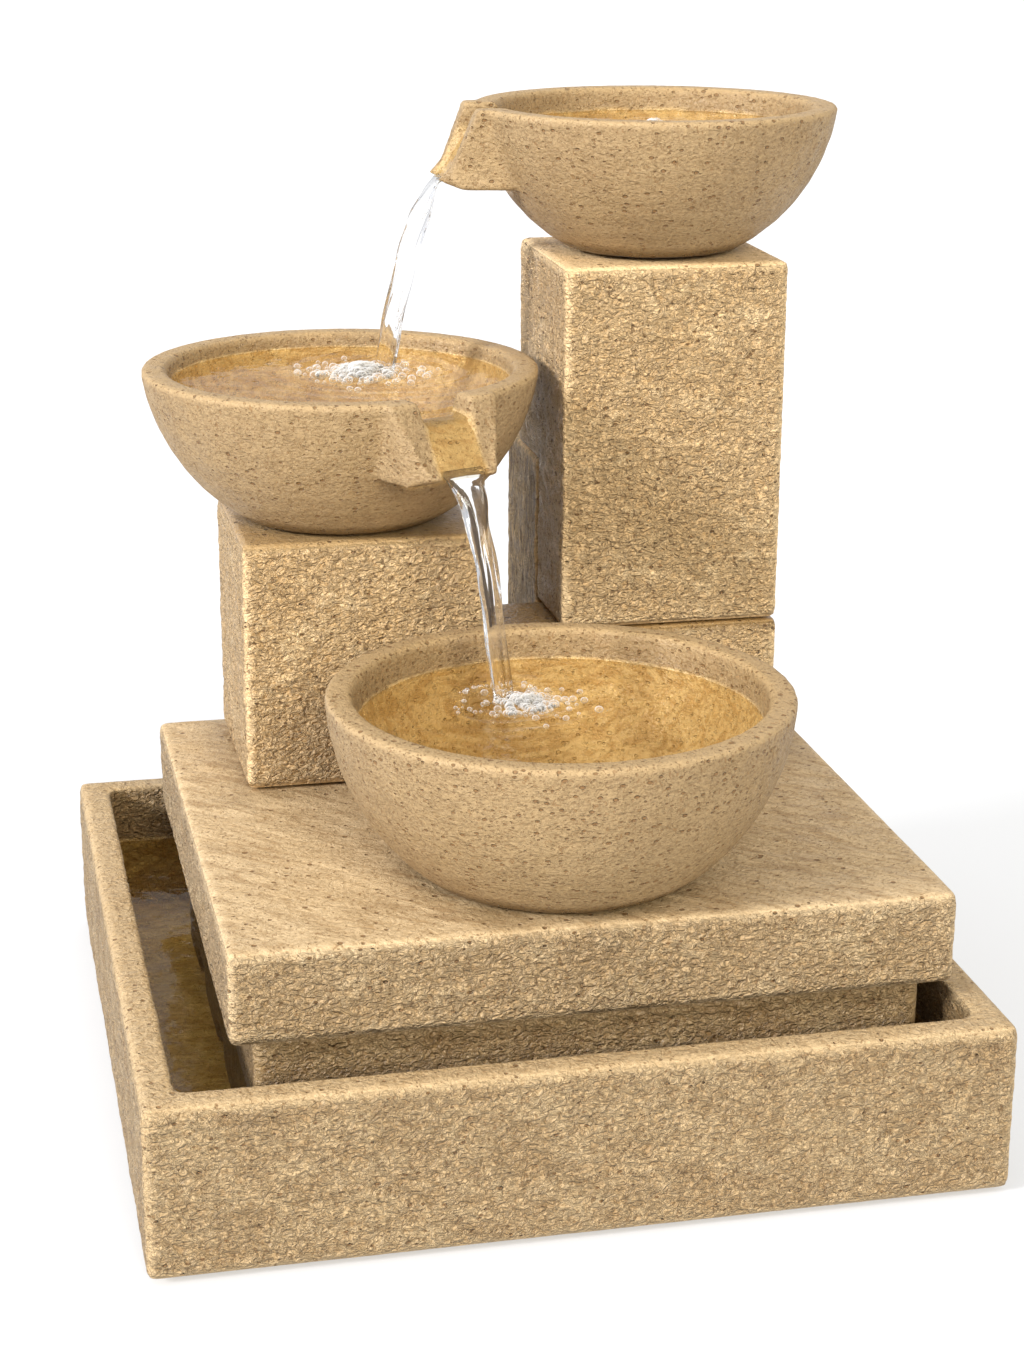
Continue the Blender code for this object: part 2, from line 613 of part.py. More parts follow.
def make_pump_body(plastic, rubber):
    """The motor block and volute in one moulding, with the outlet's nozzle and the cord's gland."""
    x, y = PUMP_CENTRE
    z, half = PUMP_AXIS_Z, PUMP_SIDE / 2
    back_x, front_x = x + PUMP_LENGTH / 2, x - PUMP_LENGTH / 2
    volute_x = front_x - VOLUTE_LENGTH
    outlet_x, outlet_y = outlet_place()
    gland_x, gland_z = back_x - 0.006, z + 0.006
    body = box("pump_body", (volute_x, y - half, z - half), (back_x, y + half, z + half), plastic)
    bevel(body, 0.0025)
    rotor_bore = cylinder("rotor_bore", (front_x - 0.002, y, z), 0.0068, 0.030, axis="X")
    volute_depth = 0.01 + VOLUTE_LENGTH - 0.0015
    volute_bore = cylinder("volute_bore", (volute_x - 0.01, y, z), 0.0105, volute_depth, axis="X")
    outlet_bore = cylinder("outlet_bore", (outlet_x, outlet_y, z), 0.0035, 0.03, steps=16)
    cord_bore = cylinder("cord_bore", (gland_x, y, gland_z), 0.0032, 0.02, axis="X", steps=16)
    cut(body, rotor_bore, volute_bore, outlet_bore, cord_bore)

    top_z = z + half + GAP
    turned("outlet_nozzle", (outlet_x, outlet_y, 0), [
        (0.0030, top_z), (0.0060, top_z), (0.0060, top_z + 0.003), (BARB_RADIUS, top_z + 0.003),
        (BARB_RADIUS, top_z + 0.018), (0.0030, top_z + 0.018),
    ], plastic)
    ring("cord_gland", (gland_x + GAP, y, gland_z), 0.0029, 0.0014, 0.014, rubber, axis="X", steps=16)


def make_rotor(rotor_x, volute_x, grey_plastic, rubber, ceramic, magnet):
    """The ceramic shaft in its two bushes, and the magnet and impeller that turn on it."""
    y, z = PUMP_CENTRE[1], PUMP_AXIS_Z
    cylinder("impeller_shaft", (rotor_x - 0.0085, y, z), SHAFT_RADIUS, 0.0355, ceramic, axis="X", steps=12)
    rear_place, front_place = (rotor_x + 0.0235, y, z), (volute_x + 0.0012, y, z)
    ring("shaft_bush_rear", rear_place, 0.0030, SHAFT_BORE, 0.0030, rubber, axis="X", steps=16)
    ring("shaft_bush_front", front_place, 0.0026, SHAFT_BORE, 0.0018, rubber, axis="X", steps=16)
    ring("rotor_magnet", (rotor_x, y, z), 0.0060, 0.0024, 0.022, magnet, axis="X")
    make_impeller(rotor_x, grey_plastic)


def make_impeller(rotor_x, plastic):
    """The rotor's sleeve with six radial blades, one piece that turns with the magnet."""
    y, z = PUMP_CENTRE[1], PUMP_AXIS_Z
    wheel = cylinder("impeller_wheel", (rotor_x - 0.0058, y, z), 0.0020, 0.029, plastic, axis="X", steps=16)
    join(wheel, cylinder("impeller_hub", (rotor_x - 0.0018, y, z), 0.0085, 0.0012, axis="X"))
    for i in range(3):
        low = (rotor_x - 0.0053, y - 0.0006, z - 0.0083)
        blade = box(f"impeller_blades_{i}", low, (rotor_x - 0.0014, y + 0.0006, z + 0.0083))
        blade.rotation_euler = (i * pi / 3, 0, 0)
        join(wheel, blade)
    bore = cylinder("impeller_bore", (rotor_x - 0.02, y, z), SHAFT_BORE, 0.06, axis="X", steps=16)
    return cut(wheel, bore)


def make_volute_cover(volute_x, plastic, rubber):
    """The plate over the impeller, with a bridge across its eye, and its seal."""
    y, z = PUMP_CENTRE[1], PUMP_AXIS_Z
    low_x, high_x = volute_x - 0.0022, volute_x - 0.0003
    plate = ring("volute_cover", (low_x, y, z), 0.0112, 0.0048, high_x - low_x, plastic, axis="X")
    join(plate, box("bush_bridge", (low_x, y - 0.0012, z - 0.0060), (high_x, y + 0.0012, z + 0.0060)))
    ring("volute_seal", (volute_x - GAP + 0.0012, y, z), 0.0102, 0.0092, 0.0010, rubber, axis="X")


def make_inlet_cover(front_x, plastic, grey_plastic):
    """The strainer box that pulls off the pump's front, with the flow dial on its nose."""
    y, z, half = PUMP_CENTRE[1], PUMP_AXIS_Z, PUMP_SIDE / 2
    low_x = front_x - INLET_COVER_LENGTH
    cover = box("inlet_cover", (low_x, y - half, z - half), (front_x, y + half, z + half), plastic)
    bevel(cover, 0.0025)
    inner = half - INLET_COVER_WALL
    inside_low = (low_x + INLET_COVER_WALL, y - inner, z - inner)
    inside = box("inlet_cover_inside", inside_low, (front_x + 0.01, y + inner, z + inner))
    cut(cover, inside, cylinder("nose_hole", (low_x - 0.01, y, z), 0.0040, 0.02, axis="X", steps=16))
    for i in range(4):
        x = low_x + 0.0040 + i * 0.0030
        slot_high = (x + 0.0014, y + half + 0.01, z + 0.0085)
        cut(cover, box(f"inlet_slot_{i}", (x, y - half - 0.01, z - 0.0085), slot_high))
    make_flow_dial(low_x, grey_plastic)


def make_flow_dial(nose_x, plastic):
    """A knob that turns on the inlet cover's nose and opens its window."""
    y, z = PUMP_CENTRE[1], PUMP_AXIS_Z
    dial = cylinder("flow_dial", (nose_x - 0.0028, y, z), 0.0085, 0.0025, plastic, axis="X")
    stem = cylinder("flow_dial_stem", (nose_x - 0.0010, y, z), 0.00385, 0.0060, axis="X", steps=16)
    grip_low = (nose_x - 0.0065, y - 0.0010, z - 0.0070)
    grip = box("flow_dial_grip", grip_low, (nose_x - 0.0020, y + 0.0010, z + 0.0070))
    window_low = (nose_x - 0.01, y - 0.0008, z + 0.0012)
    window = box("flow_dial_window", window_low, (nose_x + 0.01, y + 0.0008, z + 0.0030))
    join(dial, stem, grip)
    return cut(dial, window)


def make_suction_cups(x, y, base_z, rubber):
    floor_z = FOOT_PROUD + BASIN_FLOOR + GAP
    top_z = base_z - GAP - floor_z
    profile = [(0, 0.0012), (0.0050, 0), (0.0056, 0), (0.0030, 0.0022), (0.0022, top_z), (0, top_z)]
    for end, cup_x in (("front", x - 0.019), ("rear", x + 0.012)):
        for side, cup_y in (("left", y - 0.0075), ("right", y + 0.0075)):
            turned(f"suction_cup_{end}_{side}", (cup_x, cup_y, floor_z), profile, rubber, steps=16)


def make_riser_hose(vinyl, rubber):
    """The hose from the pump's outlet up through the rear cover to the top bowl's fitting."""
    x, y = outlet_place()
    top_x, top_y = TOP_BOWL["centre"]
    low_z = PUMP_AXIS_Z + PUMP_SIDE / 2 + 0.006
    high_z = TALL_PILLAR_TOP - CAST_WALL - 0.010
    route = [
        (x, y, low_z), (x, y, SLAB_TOP - 0.02), (x, y, SLAB_TOP + 0.010), (x + 0.003, y, 0.150),
        (x + 0.010, y - 0.003, 0.200), (top_x - 0.003, top_y + 0.002, 0.232), (top_x, top_y, 0.250),
        (top_x, top_y, 0.262), (top_x, top_y, high_z),
    ]
    hose("riser_hose", route, HOSE_RADIUS, HOSE_BORE, vinyl)
    bore, neck = HOSE_RADIUS + GAP, HOSE_RADIUS + 0.0015
    collar_z, top_z = CAST_WALL + 0.0010, CAST_WALL + 0.0022
    grommet = [
        (bore, -0.0005), (neck, -0.0005), (neck, collar_z), (HOSE_RADIUS + 0.0035, collar_z),
        (HOSE_RADIUS + 0.0030, top_z), (bore, top_z),
    ]
    turned("hose_grommet", (x, y, SLAB_TOP - CAST_WALL - GAP), grommet, rubber)
    for name, z in (("hose_clip_lower", low_z + 0.003), ("hose_clip_upper", high_z - 0.009)):
        clip_x, clip_y = (x, y) if z < SLAB_TOP else (top_x, top_y)
        ring(name, (clip_x, clip_y, z), HOSE_RADIUS + 0.0016, HOSE_RADIUS + GAP, 0.006, rubber)


def make_moving_groups():
    """What lifts out of the basin as one, and the pump's rotor, which turns about its shaft."""
    tower_z = FOOT_PROUD + BASIN_FLOOR + GAP
    stays = ("basin", "foot_")
    turns = ("impeller_wheel", "impeller_blades", "impeller_hub", "rotor_magnet")
    pieces = [obj for obj in bpy.data.objects if obj.type == "MESH" and not obj.name.startswith(stays)]
    turning = [obj for obj in pieces if obj.name.startswith(turns)]
    tower = group("tower", (*SLAB_CENTRE, tower_z), [obj for obj in pieces if obj not in turning])
    rotor = group("rotor", (*PUMP_CENTRE, PUMP_AXIS_Z), turning)
    rotor.parent = tower
    rotor.matrix_parent_inverse = Matrix.Translation((*SLAB_CENTRE, tower_z)).inverted()


def main():
    clear_scene()
    stone = make_material("cast_stone", STONE, 0.75)
    grey_stone = make_material("cover_stone", GREY_STONE, 0.8)
    rubber = make_material("black_rubber", BLACK, 0.8)
    silicone = make_material("silicone", (0.55, 0.50, 0.42), 0.4)
    plastic = make_material("pump_plastic", (0.03, 0.03, 0.035), 0.45)
    grey_plastic = make_material("grey_plastic", (0.25, 0.26, 0.27), 0.45)
    vinyl = make_material("clear_vinyl", (0.75, 0.78, 0.78), 0.3)
    steel = make_material("stainless_steel", (0.62, 0.61, 0.59), 0.3, 1.0)
    ceramic = make_material("white_ceramic", (0.85, 0.84, 0.80), 0.25)
    magnet = make_material("magnet", (0.06, 0.055, 0.05), 0.6)

    make_basin(stone)
    make_feet(rubber)
    make_slab(stone)
    make_plinth(stone)
    make_short_pillar(stone)
    make_link_block(stone)
    make_tall_pillar(stone)
    make_rear_cover(grey_stone, steel)
    make_bowls(stone, silicone)
    make_through_fitting("inlet", TOP_BOWL, CAST_WALL, 0.024, True, plastic, rubber)
    make_through_fitting("drain", LOWER_BOWL, CAST_WALL, 0.022, False, plastic, rubber)
    make_drain_strainer(grey_plastic)
    make_middle_bolt(steel, rubber)
    make_pump(plastic, grey_plastic, rubber, ceramic, magnet)
    make_riser_hose(vinyl, rubber)
    make_moving_groups()


main()
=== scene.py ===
"""The tabletop water fountain's looks: cast stone, running water and studio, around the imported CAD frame."""

import bpy
import bmesh
import json
import numpy as np
from math import cos, pi, radians, sin, sqrt
from mathutils import Matrix, Vector


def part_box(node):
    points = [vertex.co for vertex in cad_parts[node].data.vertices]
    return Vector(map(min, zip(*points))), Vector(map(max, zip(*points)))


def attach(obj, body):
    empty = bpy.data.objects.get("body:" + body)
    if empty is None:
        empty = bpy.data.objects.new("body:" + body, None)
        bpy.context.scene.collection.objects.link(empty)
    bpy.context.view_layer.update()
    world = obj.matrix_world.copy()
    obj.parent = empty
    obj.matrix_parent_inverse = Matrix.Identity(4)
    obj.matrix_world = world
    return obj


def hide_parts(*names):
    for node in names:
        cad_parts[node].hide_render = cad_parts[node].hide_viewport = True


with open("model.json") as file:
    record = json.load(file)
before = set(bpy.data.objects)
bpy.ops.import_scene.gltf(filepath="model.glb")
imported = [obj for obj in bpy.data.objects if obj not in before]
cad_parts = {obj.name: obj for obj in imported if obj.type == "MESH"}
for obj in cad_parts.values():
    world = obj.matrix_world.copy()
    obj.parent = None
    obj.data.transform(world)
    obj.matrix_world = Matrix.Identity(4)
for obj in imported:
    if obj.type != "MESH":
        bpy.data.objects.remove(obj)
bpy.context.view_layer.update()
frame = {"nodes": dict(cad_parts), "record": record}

# ---------------------------------------------------------------- where things are, in metres
TOP_CENTRE = (0.0751, 0.0704)
MIDDLE_CENTRE = (-0.0480, 0.0630)
LOWER_CENTRE = (0.0066, -0.0713)
# Each bowl: centre, rim height, inside sphere's centre height and radius, water level.
TOP = dict(
    centre=TOP_CENTRE, rim=0.3525, rim_radius=0.0698, sphere_z=0.3605, inside=0.06026, water=0.3430,
)
MIDDLE = dict(
    centre=MIDDLE_CENTRE, rim=0.2580, rim_radius=0.0757, sphere_z=0.2668, inside=0.06621, water=0.2515,
)
LOWER = dict(
    centre=LOWER_CENTRE, rim=0.1682, rim_radius=0.0823, sphere_z=0.1707, inside=0.07234, water=0.1562,
)
BASIN_WATER = 0.0395
BASIN_INSIDE = (0.137, 0.141)
TOP_SPOUT, MIDDLE_SPOUT = radians(178.0), radians(-69.5)
TOP_WEIR, MIDDLE_WEIR = 0.0115, 0.0085
UPPER_LANDING = (-0.0280, 0.0825)
LOWER_LANDING = (-0.0070, -0.0410)
UPPER_FROTH_CENTRE = (-0.0380, 0.0760)
LOWER_FROTH_CENTRE = (-0.0010, -0.0500)
CHANNEL_WATER_WIDTH = 0.0186
STREAM_SUNK, STREAM_LIP_DEPTH = 0.0014, 0.0022
BUBBLE_SQUASH, BUBBLE_PILE = 0.8, 0.0030
FLOOR_SIZE, FLOOR_DROP = 14.0, 0.0002

# ---------------------------------------------------------------- the camera that took the photo
CAMERA_PLACE = (-0.1980, -0.9073, 0.4548)
CAMERA_YAW, CAMERA_PITCH, CAMERA_ROLL = radians(12.62), radians(18.28), radians(0.32)
CAMERA_LENS, CAMERA_SENSOR = 69.05, 36.0

# ---------------------------------------------------------------- colours
# Each stone: its light, middle and dark tone, and how much of it is pitted and speckled. The tones differ from
# piece to piece partly as painted light and shade: the bowls and the basin are made darker and the blocks
# lighter, to even out how the lamps and the bright floor light them.
BASIN_STONE = ((0.495, 0.358, 0.192), (0.405, 0.273, 0.131), (0.25, 0.142, 0.051), 0.22, 0.1)
BLOCK_STONE = ((0.74, 0.545, 0.30), (0.645, 0.44, 0.213), (0.385, 0.225, 0.083), 0.3, 0.1)
SLAB_STONE = ((0.56, 0.415, 0.235), (0.465, 0.325, 0.165), (0.285, 0.168, 0.065), 0.22, 0.1)
BOWL_STONE = ((0.355, 0.242, 0.117), (0.287, 0.186, 0.084), (0.170, 0.097, 0.033), 0.55, 0.5)
LOWER_BOWL_STONE = ((0.34, 0.231, 0.111), (0.277, 0.181, 0.081), (0.16, 0.092, 0.032), 0.9, 0.9)
COVER_STONE = ((0.72, 0.50, 0.235), (0.50, 0.335, 0.15), (0.21, 0.125, 0.048), 0.2, 0.1)
SPECK_BROWN = (0.235, 0.130, 0.045)
PIT_BROWN = (0.190, 0.092, 0.024)
# Multiplied over moist stone and over painted shade.
DAMP_AND_PAINTED_SHADE = (0.42, 0.36, 0.26)
# Gold tones for stone under water: partly the water's tint, partly painted light, brighter than soaked stone
# would be, in wavy bands.
SUNK_DARK, SUNK_LIGHT = (0.74, 0.46, 0.155), (1.0, 0.71, 0.31)
BOWL_WATER_TINT = (0.985, 0.945, 0.84)
BASIN_WATER_TINT = (0.93, 0.87, 0.66)
PLAIN_VARIATION, PLAIN_DEPTH = 0.12, 0.00008
WATER_IOR = 1.33

# ---------------------------------------------------------------- light
SKY_COLOUR = (0.98, 0.99, 1.03, 1.0)
# Each sun: its name, the direction it stands in, strength, spread in degrees and colour.
SUNS = (
    ("key", (-0.86, -0.30, 0.42), 3.6, 14, (1.0, 1.0, 1.04)),
    ("overhead", (-0.10, 0.15, 1.0), 0.35, 40, (1.0, 1.0, 1.0)),
    ("front_fill", (0.10, -0.85, 0.40), 2.7, 24, (1.0, 0.94, 0.80)),
)


# ---------------------------------------------------------------- camera
def set_camera():
    yaw, pitch, roll = CAMERA_YAW, CAMERA_PITCH, CAMERA_ROLL
    ahead = Vector((sin(yaw) * cos(pitch), cos(yaw) * cos(pitch), -sin(pitch)))
    right = Vector((cos(yaw), -sin(yaw), 0))
    up = right.cross(ahead)
    right_rolled = cos(roll) * right + sin(roll) * up
    up_rolled = -sin(roll) * right + cos(roll) * up
    data = bpy.data.cameras.new("camera")
    data.lens, data.sensor_width = CAMERA_LENS, CAMERA_SENSOR
    camera = bpy.data.objects.new("camera", data)
    bpy.context.scene.collection.objects.link(camera)
    turn = Matrix((right_rolled, up_rolled, -ahead)).transposed().to_4x4()
    camera.matrix_world = Matrix.Translation(CAMERA_PLACE) @ turn
    bpy.context.scene.camera = camera


# ---------------------------------------------------------------- noise
def gradient_noise(points, seed):
    """Smooth noise from about -1 to 1 with a cell of 1, at an array of points."""
    rng = np.random.default_rng(seed)
    order = rng.permutation(256)
    order = np.concatenate([order, order, order])
    directions = rng.normal(size=(256, 3))
    directions /= np.linalg.norm(directions, axis=1)[:, None]
    cell = np.floor(points).astype(np.int64)
    part = points - cell
    cell &= 255
    fade = part * part * part * (part * (part * 6 - 15) + 10)
    total = np.zeros(len(points))
    for i in (0, 1):
        for j in (0, 1):
            for k in (0, 1):
                index = order[order[order[cell[:, 0] + i] + cell[:, 1] + j] + cell[:, 2] + k]
                corner = ((part - (i, j, k)) * directions[index]).sum(axis=1)
                weight = np.abs(1 - i - fade[:, 0]) * np.abs(1 - j - fade[:, 1]) * np.abs(1 - k - fade[:, 2])
                total += weight * corner
    return total * 1.6


def octaves(points, size, seed, count=3):
    """Noise with detail at size, size / 2 and so on."""
    total = np.zeros(len(points))
    for i in range(count):
        total += gradient_noise(points * (2**i / size), seed + i) / 2**i
    return total


# ---------------------------------------------------------------- meshes
def new_piece(name, mesh, body, material):
    obj = bpy.data.objects.new(name, mesh)
    bpy.context.scene.collection.objects.link(obj)
    mesh.materials.clear()
    mesh.materials.append(material)
    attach(obj, body)
    return obj


def finished_mesh(name, bm, rise=None):
    """The mesh of a bmesh, shaded smooth, its points raised by what rise gives for them."""
    mesh = bpy.data.meshes.new(name)
    bm.to_mesh(mesh)
    bm.free()
    if rise is not None:
        points, _ = mesh_arrays(mesh)
        points[:, 2] += rise(points)
        mesh.vertices.foreach_set("co", points.ravel())
    mesh.shade_smooth()
    return mesh


def mesh_arrays(mesh):
    n = len(mesh.vertices)
    points, normals = np.empty(n * 3), np.empty(n * 3)
    mesh.vertices.foreach_get("co", points)
    mesh.vertex_normals.foreach_get("vector", normals)
    return points.reshape(n, 3), normals.reshape(n, 3)


def remeshed(node, voxel, smoothing):
    """A fine even mesh of a CAD node's shape, with its corners rounded."""
    source = frame["nodes"][node]
    copy = bpy.data.objects.new("remesh_work", source.data.copy())
    bpy.context.scene.collection.objects.link(copy)
    remesh = copy.modifiers.new("remesh", "REMESH")
    remesh.mode = "VOXEL"
    remesh.voxel_size = voxel
    soften = copy.modifiers.new("smooth", "SMOOTH")
    soften.factor = 0.5
    soften.iterations = smoothing
    depsgraph = bpy.context.evaluated_depsgraph_get()
    mesh = bpy.data.meshes.new_from_object(copy.evaluated_get(depsgraph))
    bpy.data.objects.remove(copy, do_unlink=True)
    mesh.name = node + "_stone"
    mesh.shade_smooth()
    return mesh


def set_value(mesh, name, values):
    layer = mesh.attributes.new(name, "FLOAT", "POINT")
    layer.data.foreach_set("value", np.asarray(values, np.float32))


def smoothstep(low, high, values):
    t = np.clip((values - low) / (high - low), 0, 1)
    return t * t * (3 - 2 * t)


# ---------------------------------------------------------------- cast stone
def rough_relief(points, seed):
    """The hammered look of the blocks' sides, in metres, from about -1.1 mm up to 0."""
    warp = np.stack([gradient_noise(points / 0.006, seed + 20 + i) for i in range(3)], axis=1)
    bent = points + 0.0016 * warp
    slanted = bent @ np.array([[1.0, 0.0, 0.35], [0.0, 1.0, 0.35], [-0.45, -0.45, 1.3]])
    lumps = gradient_noise(points / 0.022, seed)
    ridges = gradient_noise(slanted * (0.6, 0.6, 1.5) / 0.016, seed + 6)
    hollows = gradient_noise(slanted / 0.0088, seed + 4)
    chips = 1 - np.abs(gradient_noise(slanted / 0.0052, seed + 1)) * 2.2
    marks = gradient_noise(bent / 0.0029, seed + 2)
    broad = 0.00024 * lumps + 0.00034 * ridges
    return broad + 0.00026 * hollows + 0.00030 * chips + 0.00024 * marks - 0.00085


def smooth_relief(points, seed):
    """The fine unevenness of the bowls and of flat tops."""
    uneven = 0.00009 * octaves(points, 0.009, seed, 3)
    return uneven + 0.00005 * gradient_noise(points / 0.0022, seed + 7) - 0.00012


def streaky_relief(points, seed):
    """The slab's top: low ridges drawn out along the diagonal."""
    bent = points + 0.004 * np.stack([gradient_noise(points / 0.03, seed + i) for i in range(3)], axis=1)
    drawn = bent @ np.array([[0.67, 0.74, 0.0], [0.74, -0.67, 0.0], [0.0, 0.0, 1.0]])
    drawn = drawn * (1.0, 0.22, 1.0)
    low_ridges = 0.00026 * octaves(drawn, 0.0075, seed + 5, 2)
    return low_ridges + 0.00008 * gradient_noise(points / 0.0024, seed + 9) - 0.00030


def carve(mesh, sides, seed, edge, top=None, streaks=False, outside=None):
    """Moves the points in along their normals by the relief, and stores the relief as an attribute that paints
    shade on the low points and a highlight on the high ones.

    sides is how rough the upright faces are, top how rough the level ones, edge where the corners are rubbed
    smooth and painted paler as a highlight, and outside an outline that limits it."""
    points, normals = mesh_arrays(mesh)
    wear_and_edge_highlight = edge(points)
    upright = 1 - smoothstep(0.35, 0.8, np.abs(normals[:, 2]))
    rough, smooth = rough_relief(points, seed), smooth_relief(points, seed + 40)
    level = streaky_relief(points, seed + 60) if streaks else smooth
    if top is not None:
        level = level + top * (rough - level)
    side = smooth + sides * (rough - smooth)
    moved = upright * side + (1 - upright) * level
    moved = moved * (1 - 0.65 * wear_and_edge_highlight) - 0.00012 * wear_and_edge_highlight
    if outside is not None:
        moved = moved * outside(points)
    points = points + normals * moved[:, None]
    mesh.vertices.foreach_set("co", points.ravel())
    # The relief, kept for painted shade in its low points and painted highlight on its high points.
    set_value(mesh, "relief_shade_and_highlight", np.clip(0.5 + (moved - np.median(moved)) / 0.0016, 0, 1))
    set_value(mesh, "rough", (upright * sides + (1 - upright) * (top or 0.0)) * (1 - 0.6 * wear_and_edge_highlight))
    set_value(mesh, "wear_and_edge_highlight", wear_and_edge_highlight)
    mesh.update()
    return points


def near_box(points, low, high):
    """Distance in plan from a rectangle."""
    dx = np.maximum(np.maximum(low[0] - points[:, 0], points[:, 0] - high[0]), 0)
    dy = np.maximum(np.maximum(low[1] - points[:, 1], points[:, 1] - high[1]), 0)
    return np.sqrt(dx * dx + dy * dy)


def near_point(points, centre):
    return np.hypot(points[:, 0] - centre[0], points[:, 1] - centre[1])


def outer_skin(low, high, margin=0.004):
    """1 on a block's outer faces and 0 on the hollow inside it."""
    def inside_out(points):
        depth = np.minimum.reduce([
            points[:, 0] - low[0], high[0] - points[:, 0],
            points[:, 1] - low[1], high[1] - points[:, 1],
            high[2] - points[:, 2],
        ])
        return 1 - smoothstep(margin * 0.6, margin, depth)
    return inside_out


def block_edges(low, high):
    """1 along each outer edge of a block, falling to 0 a few millimetres away; the relief is rubbed smooth
    there and the material paints it paler as a highlight.
    """
    low, high = np.array(low), np.array(high)

    def wear_and_edge_highlight(points):
        depths = np.sort(np.column_stack([points - low, high - points]), axis=1)
        return 1 - smoothstep(0.0008, 0.0050, depths[:, 1])
    return wear_and_edge_highlight


def rim_edges(bowl):
    """1 along the inner and the outer edge of a bowl's rim, and a little on the flat between them; the
    material paints all of it paler as a highlight.
    """
    def wear_and_edge_highlight(points):
        radius = bowl["rim_radius"]
        out, rise = near_point(points, bowl["centre"]), points[:, 2] - bowl["rim"]
        outer = np.hypot(out - radius + 0.0008, rise)
        inner = np.hypot(out - radius + 0.0092, rise)
        edge_wear_and_highlight = 1 - smoothstep(0.0008, 0.0030, np.minimum(outer, inner))
        flat = smoothstep(-0.0020, -0.0008, rise) * smoothstep(radius - 0.011, radius - 0.009, out)
        return np.maximum(edge_wear_and_highlight, 0.7 * flat)
    return wear_and_edge_highlight


def slab_damp_and_painted_shade(points):
    """Darker on the slab under and round the lower bowl and along the feet of pillar and link block: partly
    moisture, partly painted shade.
    """
    pillar_low, pillar_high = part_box("short_pillar")
    link_low, link_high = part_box("link_block")
    spill = 0.006 * octaves(points, 0.03, 300, 3)
    around_bowl = 1 - smoothstep(0.040, 0.066, near_point(points, LOWER_CENTRE) + spill * 1.5)
    around_pillar = 1 - smoothstep(0.001, 0.016, near_box(points, pillar_low, pillar_high) + spill)
    around_link = 1 - smoothstep(0.001, 0.030, near_box(points, link_low, link_high) + spill)
    under_bowl = 1 - smoothstep(0.034, 0.043, near_point(points, LOWER_CENTRE))
    return np.maximum.reduce([under_bowl, around_bowl * 0.55, around_pillar * 0.35, around_link * 0.45])


def basin_wetness_and_painted_light(points):
    """How much of a piece that stands in the basin's water is under water, and how moist it is above; the
    under-water share is painted gold and brighter, as painted light.
    """
    edge = BASIN_WATER + 0.0006 + 0.0008 * octaves(points, 0.02, 310, 3)
    height = points[:, 2] - edge
    wet_and_painted_light = 1 - 0.9 * smoothstep(-0.001, 0.0015, height)
    damp_and_painted_shade = smoothstep(-0.001, 0.0015, height) * (0.50 - 0.15 * smoothstep(0.002, 0.020, height))
    return wet_and_painted_light, damp_and_painted_shade


def block_wetness_and_painted_light(node, points, high):
    wet_and_painted_light, damp_and_painted_shade = np.zeros(len(points)), np.zeros(len(points))
    if node == "platform_slab":
        damp_and_painted_shade = slab_damp_and_painted_shade(points)
    if node == "plinth_frame":
        wet_and_painted_light, damp_and_painted_shade = basin_wetness_and_painted_light(points)
        # The plinth frame is at least 0.45 darker all over: painted shade in its recess.
        wet_and_painted_light, damp_and_painted_shade = 0.12 * wet_and_painted_light, np.maximum(damp_and_painted_shade, 0.45)
    if node == "basin":
        wet_and_painted_light, damp_and_painted_shade = basin_wetness_and_painted_light(points)
        inner = near_box(points, (-BASIN_INSIDE[0], -BASIN_INSIDE[1]), BASIN_INSIDE)
        below_rim = 1 - smoothstep(high[2] - 0.004, high[2] - 0.0015, points[:, 2])
        wet_and_painted_light = wet_and_painted_light * (1 - smoothstep(0.002, 0.005, inner)) * smoothstep(0.004, 0.006, points[:, 2])
        damp_and_painted_shade = damp_and_painted_shade * (1 - smoothstep(0.0005, 0.003, inner)) * below_rim
    if node == "link_block":
        # Its top is darkened: a painted shadow.
        damp_and_painted_shade = smoothstep(high[2] - 0.005, high[2] - 0.001, points[:, 2])
    if node == "short_pillar":
        damp_and_painted_shade = 0.75 * smoothstep(high[2] - 0.004, high[2] - 0.001, points[:, 2])
    return wet_and_painted_light, damp_and_painted_shade


def stone_block(node, material, voxel, sides, seed, body="tower", **options):
    low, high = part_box(node)
    mesh = remeshed(node, voxel, 5)
    if body == "tower":
        options["outside"] = outer_skin(low, high)
    points = carve(mesh, sides, seed, block_edges(low, high), **options)
    wet_and_painted_light, damp_and_painted_shade = block_wetness_and_painted_light(node, points, high)
    set_value(mesh, "wet_and_painted_light", wet_and_painted_light)
    set_value(mesh, "damp_and_painted_shade", damp_and_painted_shade)
    piece = new_piece(node + "_stone", mesh, body, material)
    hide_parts(node)


def spout_channel(bowl, points):
    """1 on the floor of a bowl's spout."""
    angle = TOP_SPOUT if bowl is TOP else MIDDLE_SPOUT
    dx, dy = points[:, 0] - bowl["centre"][0], points[:, 1] - bowl["centre"][1]
    along = dx * cos(angle) + dy * sin(angle)
    across = -dx * sin(angle) + dy * cos(angle)
    return (along > bowl["rim_radius"] - 0.014) * (1 - smoothstep(0.0095, 0.0108, np.abs(across)))


